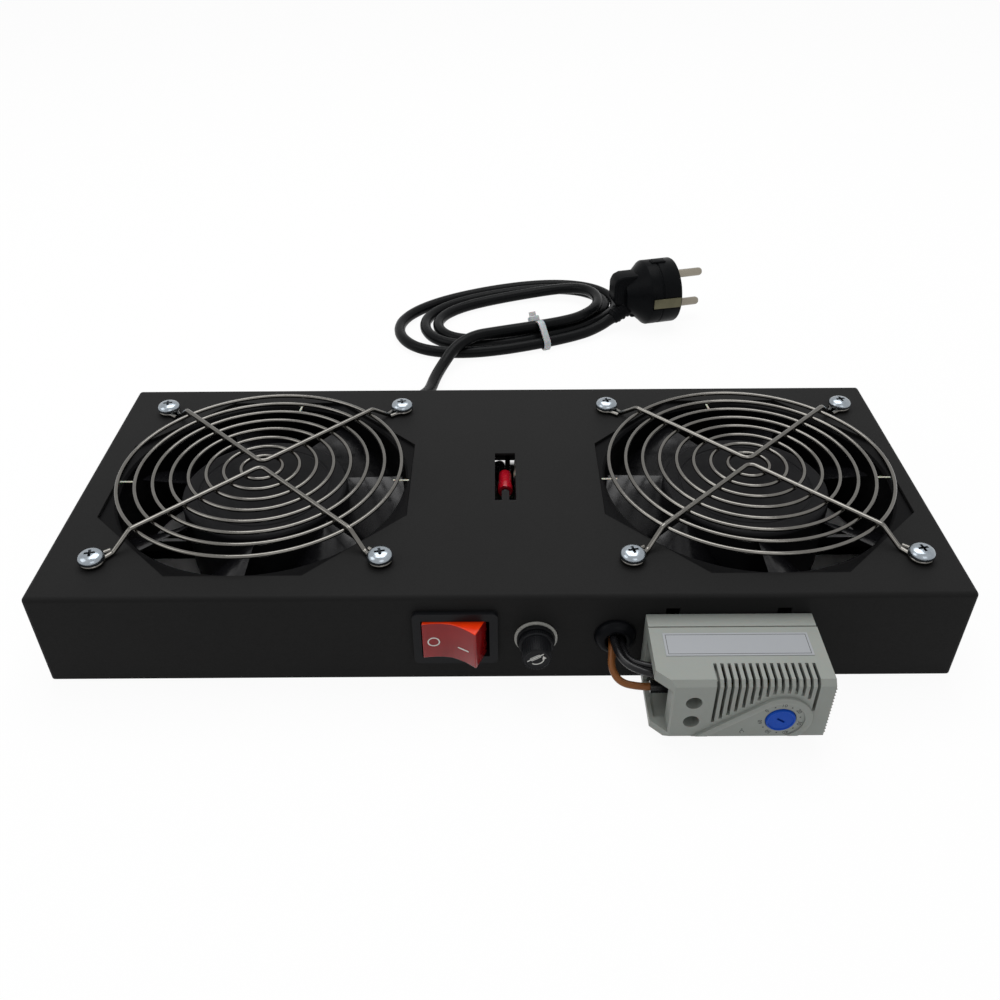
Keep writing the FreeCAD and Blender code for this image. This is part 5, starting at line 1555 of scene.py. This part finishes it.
class RockerSwitch:
    """Lit red rocker in a black bezel, marked O and I."""

    HALF = 10.0
    CORNER = 8.07
    HALF_TALL = 8.4
    TILT = 16.0
    PIVOT: Point = (-16.1, -52.9, 21.4)

    def facets(self) -> list[Flat]:
        """Outline of the rocker seen from above: two hollow facets that meet in a valley.

        Returns:
            Outline about the pivot, in millimetres.
        """
        face = [(self.HALF * i / 8, self.depth_at(self.HALF * i / 8)) for i in range(-8, 9)]
        return face + [(self.HALF + 1.2, 1.0), (self.HALF + 0.6, 3.2), (-self.HALF - 0.6, 3.2),
                       (-self.HALF - 1.2, 1.0)]

    def depth_at(self, along: float) -> float:
        """How far forward of the pivot a facet stands, as a negative length.

        Args:
            along: Place along the rocker.

        Returns:
            Depth in millimetres.
        """
        valley = self.CORNER - self.HALF * tan(radians(self.TILT))
        share = abs(along) / self.HALF
        return -(valley + (self.CORNER - valley) * share) + 0.55 * sin(pi * share)

    def rocker(self) -> None:
        """Make the rocker, its top faces painted orange with a faint glow as painted light from
        above.
        """
        made = prism("rocker_finished", self.facets(), -self.HALF_TALL, self.HALF_TALL, RED_LENS)
        made = eased(made, 0.45, 3, 40.0)
        made.data.materials.append(RED_LENS_PAINTED_LIGHT.material())
        # Top faces take the orange lens: painted light from above, with a faint painted glow.
        for face in made.data.polygons:
            spot = face.center / MM
            if face.normal.z > 0.5 and spot.z > self.HALF_TALL - 0.5:
                face.material_index = 1
        placed(made, self.PIVOT, Matrix.Rotation(radians(-self.TILT), 4, "Z"))
        settle(made, "rocker", "rocker")

    def marks(self) -> None:
        """Print O and I on the rocker."""
        lean = Matrix.Rotation(radians(-self.TILT), 4, "Z")
        ring = lathed("mark_off", [(1.7, 0.0), (2.12, 0.0), (2.12, 0.12), (1.7, 0.12)], WHITE_INK,
                      steps=40, closed=True)
        bar = prism("mark_on", rounded_outline(4.4, 0.5, 0.2), 0.0, 0.12, WHITE_INK)
        both = joined("rocker_marks", [placed(ring, (-6.2, -0.6, 0.0)),
                                       placed(bar, (4.7, -1.9, 0.0))])
        for spot in both.data.vertices:
            along, up, proud = spot.co / MM
            spot.co = Vector((along, self.depth_at(along) + 0.04 - proud, up)) * MM
        settle(tidy_normals(placed(both, self.PIVOT, lean)), "rocker")

    def build(self) -> None:
        """Build the switch."""
        softened("switch_housing", 0.35, MOULDED_NYLON)
        self.rocker()
        self.marks()


class FuseHolder:
    """Screw-cap fuse holder with its washer, marked with the sign for a fuse."""

    RIDGES = 36
    KNURLS = 54
    MARK_SCALE = 1.3
    MARK_TURN = 32.0

    def __init__(self) -> None:
        """Find the holder's axis."""
        self.axis = on_face("fuse_washer", span("fuse_washer")[1].y)

    def cap(self) -> None:
        """Make the tapered cap with its knurls."""
        outline = [(0.0, 8.3), (2.75, 8.3), (2.75, -4.0), (4.37, -4.0), (4.37, 2.7), (6.0, 2.7),
                   (6.2, 2.9), (6.2, 4.3), (5.9, 4.7), (5.35, 4.8), (4.9, 10.9), (4.5, 11.3),
                   (4.3, 11.3), (4.1, 11.1), (0.0, 11.1)]
        body = lathed("cap", outline, MOULDED_NYLON, steps=108)
        ridge = eased(prism("ridge", [(4.6, -0.24), (5.35, -0.17), (5.35, 0.17), (4.6, 0.24)],
                            4.3, 11.15, MOULDED_NYLON), 0.1, 2)
        ridges = REPEAT.copies(ridge, self.RIDGES, MOULDED_NYLON, turn=tau)
        knurl = eased(prism("knurl", [(6.0, -0.2), (6.45, -0.12), (6.45, 0.12), (6.0, 0.2)], 2.9,
                            4.3, MOULDED_NYLON), 0.06, 1)
        knurls = REPEAT.copies(knurl, self.KNURLS, MOULDED_NYLON, turn=tau)
        made = tidy_normals(joined("fuse_cap_finished", [body, ridges, knurls]), 30.0)
        settle(placed(made, self.axis, turning(FORWARD)), "fuse_cap", "fuse_cap")

    def marks(self) -> None:
        """Print the fuse sign and a turning arrow on the cap."""
        top, ink = 11.1, 11.16
        bars = [(-2.6, 2.6, 0.55, 0.85), (-1.5, 1.5, 0.15, 0.32), (-1.5, 1.5, 1.08, 1.25),
                (-1.5, -1.33, 0.15, 1.25), (1.33, 1.5, 0.15, 1.25)]
        pieces = [prism("bar", rectangle(*bar), top, ink, WHITE_INK) for bar in bars]
        arc = [(2.3 * cos(radians(a)), 0.4 + 2.3 * sin(radians(a)))
               for a in range(210, 331, 12)]
        back = [(x * 0.88, 0.4 + (y - 0.4) * 0.88) for x, y in arc[::-1]]
        pieces.append(prism("arc", arc + back, top, ink, WHITE_INK))
        tip = arc[-1]
        pieces.append(prism("tip", [(tip[0] - 0.75, tip[1] - 0.1), (tip[0] + 0.45, tip[1] - 0.25),
                                    (tip[0] + 0.1, tip[1] + 0.95)], top, ink, WHITE_INK))
        made = tidy_normals(joined("fuse_cap_marks", pieces))
        larger = Matrix.Diagonal((self.MARK_SCALE, self.MARK_SCALE, 1.0, 1.0))
        settle(placed(made, self.axis, turning(FORWARD, self.MARK_TURN) @ larger), "fuse_cap")

    def build(self) -> None:
        """Build the fuse holder."""
        softened("fuse_washer", 0.2, FIBRE_WASHER)
        softened("fuse_holder_body", 0.2, MOULDED_NYLON)
        self.cap()
        self.marks()


@dataclass(frozen=True)
class WireRun:
    """One insulated wire: its control points, radius and finish."""

    points: tuple[Point, ...]
    radius: float
    finish: Finish


class Wiring:
    """Leads in front, in the cable slot and under the plate."""

    LEAD_R = 1.35
    FRONT: dict[str, tuple[WireRun, ...]] = {
        "lead_brown": (WireRun((
            (-7.1, -23.9, 21.4), (-7.1, -15.9, 21.4), (20.0, -16.9, 26.0), (33.0, -34.9, 21.0),
            (40.1, -47.0, 19.6), (40.1, -56.0, 19.6), (40.0, -60.5, 19.2), (39.2, -65.4, 15.6),
            (42.0, -70.3, 12.9), (49.0, -72.3, 13.0), (55.0, -72.3, 13.1), (60.3, -72.3, 13.1)),
            LEAD_R, BROWN_PVC),),
        "leads_black": (
            WireRun((
                (10.75, 30.6, 30.2), (10.75, 9.6, 30.2), (17.0, -18.9, 31.0), (34.0, -38.4, 25.5),
                (43.2, -47.9, 20.8), (43.2, -56.0, 20.8), (43.2, -60.5, 20.8), (45.2, -67.5, 20.8),
                (52.0, -71.5, 22.0), (57.0, -71.6, 22.2), (60.3, -71.5, 22.2)), LEAD_R, BLACK_PVC),
            WireRun((
                (7.55, 30.6, 30.2), (7.55, 9.6, 30.2), (12.0, -20.9, 31.5), (28.0, -41.4, 30.0),
                (40.4, -47.9, 22.9), (40.4, -56.0, 22.9), (40.4, -61.5, 23.1), (42.6, -70.8, 23.2),
                (51.0, -75.2, 22.4), (57.0, -74.8, 22.2), (60.3, -74.7, 22.2)),
                LEAD_R, BLACK_PVC)),
    }

    def bundle(self, node: str, runs: Sequence[WireRun]) -> None:
        """Make the wires of one construction node.

        Args:
            node: Construction node.
            runs: Its wires.
        """
        curves = [spline(f"{node}_{i}", run.points, run.radius, run.finish)
                  for i, run in enumerate(runs)]
        made = [tidy_normals(applied(curve), 50.0) for curve in curves]
        settle(joined(f"{node}_finished", made), "tray", node)

    def grommet(self) -> None:
        """Make the domed rubber grommet."""
        outline = [(3.7, -3.0), (6.4, -3.0), (6.7, -2.6), (6.7, -1.25), (5.15, -1.25), (5.15, 0.05),
                   (7.5, 0.05), (7.6, 0.5), (7.3, 1.7), (6.4, 2.9), (5.4, 3.6), (4.5, 3.75),
                   (3.9, 3.5), (3.7, 3.0)]
        middle = on_face("grommet", span("tray_shell")[0].y)
        made = lathed("grommet_finished", outline, BLACK_RUBBER, middle, FORWARD, 72, True)
        settle(made, "tray", "grommet")

    def cores(self) -> None:
        """Colour the three cores of the mains lead, brown, blue and green with yellow."""
        item = copied("mains_cores", BROWN_PVC)
        for finish in (BLUE_PVC, STRIPED_PVC):
            item.data.materials.append(finish.material())
        work = bmesh.new()
        work.from_mesh(item.data)
        left, core = set(work.faces), 0
        while left:
            edge_of = [left.pop()]
            while edge_of:
                face = edge_of.pop()
                face.material_index = core % 3
                near = {f for e in face.edges for f in e.link_faces} & left
                left -= near
                edge_of += near
            core += 1
        work.to_mesh(item.data)
        work.free()
        LOG.info("%d mains cores", core)
        settle(tidy_normals(item, 50.0), "tray", "mains_cores")

    def sleeves(self) -> None:
        """Round the edges of the crimp splices and of the sleeve on the brown lead."""
        softened("crimp_splice_red", 0.5, RED_VINYL, segments=3)
        softened("crimp_splice_clear", 0.5, PALE_NYLON_SLEEVE, segments=3)
        softened("lead_sleeve", 0.2, BLACK_PVC)

    def build(self) -> None:
        """Build the wiring."""
        for node, runs in self.FRONT.items():
            self.bundle(node, runs)
        self.grommet()
        self.sleeves()
        self.cores()


@dataclass(frozen=True)
class ThermostatSizes:
    """Thermostat in millimetres."""

    dial: Point = (94.2, -88.2, 14.4)
    dial_r: float = 5.1
    scale_lift: float = 0.5
    number_r: float = 6.85
    number_h: float = 1.45
    numbers: tuple[str, ...] = ("0", "10", "20", "30", "40", "50", "60")
    first_angle: float = 140.0
    sweep: float = 311.0
    unit_turn: float = -62.0
    slot_turn: float = -33.0
    slot_len: float = 3.4
    slot_w: float = 0.75
    rim_w: float = 2.5
    rim_t: float = 0.55
    teeth: int = 15
    tooth_pitch: float = 1.5
    corner: float = 6.0
    edge: float = 1.8


@dataclass
class Thermostat:
    """Clip-on thermostat with its bare label, vents, dial and scale."""

    sizes: ThermostatSizes

    def scale(self) -> None:
        """Print the figures and the ticks between them round the dial."""
        size = self.sizes
        x, y, z = size.dial
        face = y - size.scale_lift - 0.02
        steps = len(size.numbers) - 1
        pieces = []
        for i, word in enumerate(size.numbers):
            a = radians(size.first_angle - size.sweep * i / steps)
            at = (x + size.number_r * cos(a), face, z + size.number_r * sin(a))
            pieces.append(lettered(f"figure_{word}", word, size.number_h, GREY_INK, at, FORWARD,
                                   degrees(a) - 90.0))
            if i < steps:
                b = a - radians(size.sweep / steps / 2)
                dot = lathed("dot", [(0.0, -0.02), (0.27, -0.02), (0.27, 0.03), (0.0, 0.03)],
                             BLACK_INK, (x + (size.number_r - 0.3) * cos(b), face,
                                         z + (size.number_r - 0.3) * sin(b)), FORWARD, 16)
                pieces.append(dot)
        pieces.append(lettered("unit", "°C", 1.5, BLACK_INK, (x - 12.6, face, z - 5.6),
                               FORWARD, size.unit_turn))
        settle(joined("thermostat_scale", pieces), "tray")

    def label_border(self) -> None:
        """Print a thin border round the bare label."""
        low, high = span("thermostat_label")
        top = high.z
        inset, line = 0.8, 0.18
        left, right, near, far = low.x + inset, high.x - inset, low.y + inset, high.y - inset
        rules = [(left, right, near, near + line), (left, right, far - line, far),
                 (left, left + line, near, far), (right - line, right, near, far)]
        pieces = [prism("rule", rectangle(*rule), top - 0.01, top + 0.03, BLACK_INK)
                  for rule in rules]
        settle(tidy_normals(joined("label_border", pieces)), "tray")

    def teeth(self) -> None:
        """Make the grip teeth that run level down the right-hand side."""
        low, high = span("thermostat_cover")
        size = self.sizes
        start, face = low.z + 3.0, low.y + size.scale_lift
        tooth = prism("tooth", [(high.x - 0.2, start), (high.x + 0.5, start + 0.5),
                                (high.x - 0.2, start + 1.3)], 0.0, 14.0, PEBBLE_ABS)
        placed(tidy_normals(tooth), (0.0, face + 14.2, 0.0), Matrix.Rotation(pi / 2, 4, "X"))
        made = REPEAT.copies(tooth, size.teeth, PEBBLE_ABS, (0.0, 0.0, size.tooth_pitch))
        settle(made, "tray")

    def rim(self) -> None:
        """Make the raised rim that runs up to the scale and round it."""
        size = self.sizes
        x, y, z = size.dial
        reach = 10.55
        floor = span("thermostat_cover")[0].z + size.edge + 0.9 - z
        line = [(cos(radians(a)), sin(radians(a)), 0.0)
                for a in range(-70, 127, 4)]
        outline = []
        for out in (reach, reach - size.rim_w):
            side = [(out * c, max(out * s, floor)) for c, s, _ in line]
            tangent = (-0.6 * out, 0.8 * out)
            fall = (tangent[1] - floor) / 0.75
            side += [tangent, (tangent[0] - fall, floor)]
            outline.append(side)
        band = outline[0] + outline[1][::-1]
        made = prism("scale_rim", band, 0.0, size.scale_lift + size.rim_t, PEBBLE_ABS)
        made = eased(tidy_normals(made), 0.18)
        settle(placed(made, (x, y, z), turning(FORWARD)), "tray")

    def tools(self) -> list[Piece]:
        """Make what cuts the cover: its corner window, its lower edge and the seam behind.

        Returns:
            The cutting pieces.
        """
        low, high = span("thermostat_cover")
        size = self.sizes
        face = low.y + size.scale_lift
        wide = size.corner - 0.6
        window = prism("window", rectangle(low.x - 1.0, low.x + wide, face + 0.4, face + 8.6),
                       low.z + 3.2, high.z - 4.6, PEBBLE_ABS)
        wedge = prism("wedge", [(face - 2.0, low.z + size.edge + 1.99),
                                (face + size.edge + 0.5, low.z - 0.51), (face - 2.0, low.z - 0.51)],
                      low.x - 1.0, high.x + 1.0, PEBBLE_ABS)
        seam = prism("seam", rectangle(low.x - 1.0, high.x + 1.0, high.y - 0.55, high.y + 1.0),
                     high.z - 0.55, high.z + 1.0, PEBBLE_ABS)
        upright = Matrix(((0, 0, 1, 0), (1, 0, 0, 0), (0, 1, 0, 0), (0, 0, 0, 1)))
        placed(wedge, (0, 0, 0), upright)
        return [tidy_normals(tool) for tool in (window, wedge, seam)]

    def dial(self) -> None:
        """Make the setting dial with its lip and its short slot."""
        size = self.sizes
        r = size.dial_r
        disc = lathed("thermostat_dial_finished", [
            (0.0, -2.4), (r - 0.2, -2.4), (r, -2.2), (r, 0.7), (r - 0.25, 1.1), (r - 0.55, 1.2),
            (r - 0.75, 1.1), (r - 0.85, 0.9), (0.0, 0.9)], BLUE_ACETAL, steps=72)
        slot = prism("slot", rounded_outline(size.slot_len, size.slot_w, 0.2), -0.4, 3.0,
                     BLUE_ACETAL)
        disc = cut(disc, tidy_normals(placed(slot, (0, 0, 0),
                                             turning((0, 0, 1), size.slot_turn))))
        x, y, z = size.dial
        placed(disc, (x, y, z), turning(FORWARD))
        settle(tidy_normals(disc, 35.0), "dial", "thermostat_dial")

    def build(self) -> None:
        """Build the thermostat."""
        softened("thermostat_cover", 0.3, PEBBLE_ABS, tools=self.tools())
        softened("thermostat_base", 0.3, PEBBLE_ABS)
        softened("thermostat_label", 0.05, LABEL_FILM)
        self.dial()
        self.rim()
        self.scale()
        self.label_border()
        self.teeth()


class TrayShell:
    """Folded steel tray, with the gland on its rear flange."""

    BOOT_RINGS = 5
    RING_PITCH = 3.2

    def gland(self) -> None:
        """Make the moulded gland with its ringed boot."""
        middle = on_face("cord_gland", span("tray_shell")[1].y)
        outline = [(0.0, -4.1), (7.3, -4.1), (7.6, -3.8), (7.6, -1.25), (5.95, -1.25), (5.95, 0.05),
                   (8.1, 0.05), (8.4, 0.35), (8.3, 1.6), (7.2, 2.7), (6.2, 3.6)]
        for i in range(self.BOOT_RINGS):
            start = 5.0 + i * self.RING_PITCH
            radius = 6.2 - 1.6 * (start - 3.0) / 19.0
            outline += [(radius, start), (radius - 0.8, start + 0.5), (radius - 0.9, start + 1.5),
                        (radius - 0.25, start + 2.0)]
        outline += [(4.4, 21.4), (4.1, 22.0), (0.0, 22.0)]
        made = lathed("gland_finished", outline, BLACK_RUBBER, middle, (0, 1, 0), 72)
        settle(made, "tray", "cord_gland")

    def build(self) -> None:
        """Build the tray."""
        softened("tray_shell", 0.25, POWDER_COAT)
        self.gland()


def main() -> None:
    """Build the whole scene and report its pieces."""
    logging.basicConfig(level=logging.INFO, format="%(name)s: %(message)s")
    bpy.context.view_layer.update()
    Studio(CameraPlace()).build()
    lead = MainsLead(LeadSizes())
    cord = lead.cord()
    tie = lead.tie()
    plug = EarthedPlug(PlugSizes()).build()
    start = lead.route()[0]
    TrayShell().build()
    fans = [AxialFan(side, FanSizes()) for side in Side]
    for fan in fans:
        fan.build()
    GuardScrews(fans).build()
    for finish, nodes in DRESSED.items():
        for node in nodes:
            dress(node, finish)
    RockerSwitch().build()
    FuseHolder().build()
    Wiring().build()
    Thermostat(ThermostatSizes()).build()


if __name__ == "__main__":
    main()
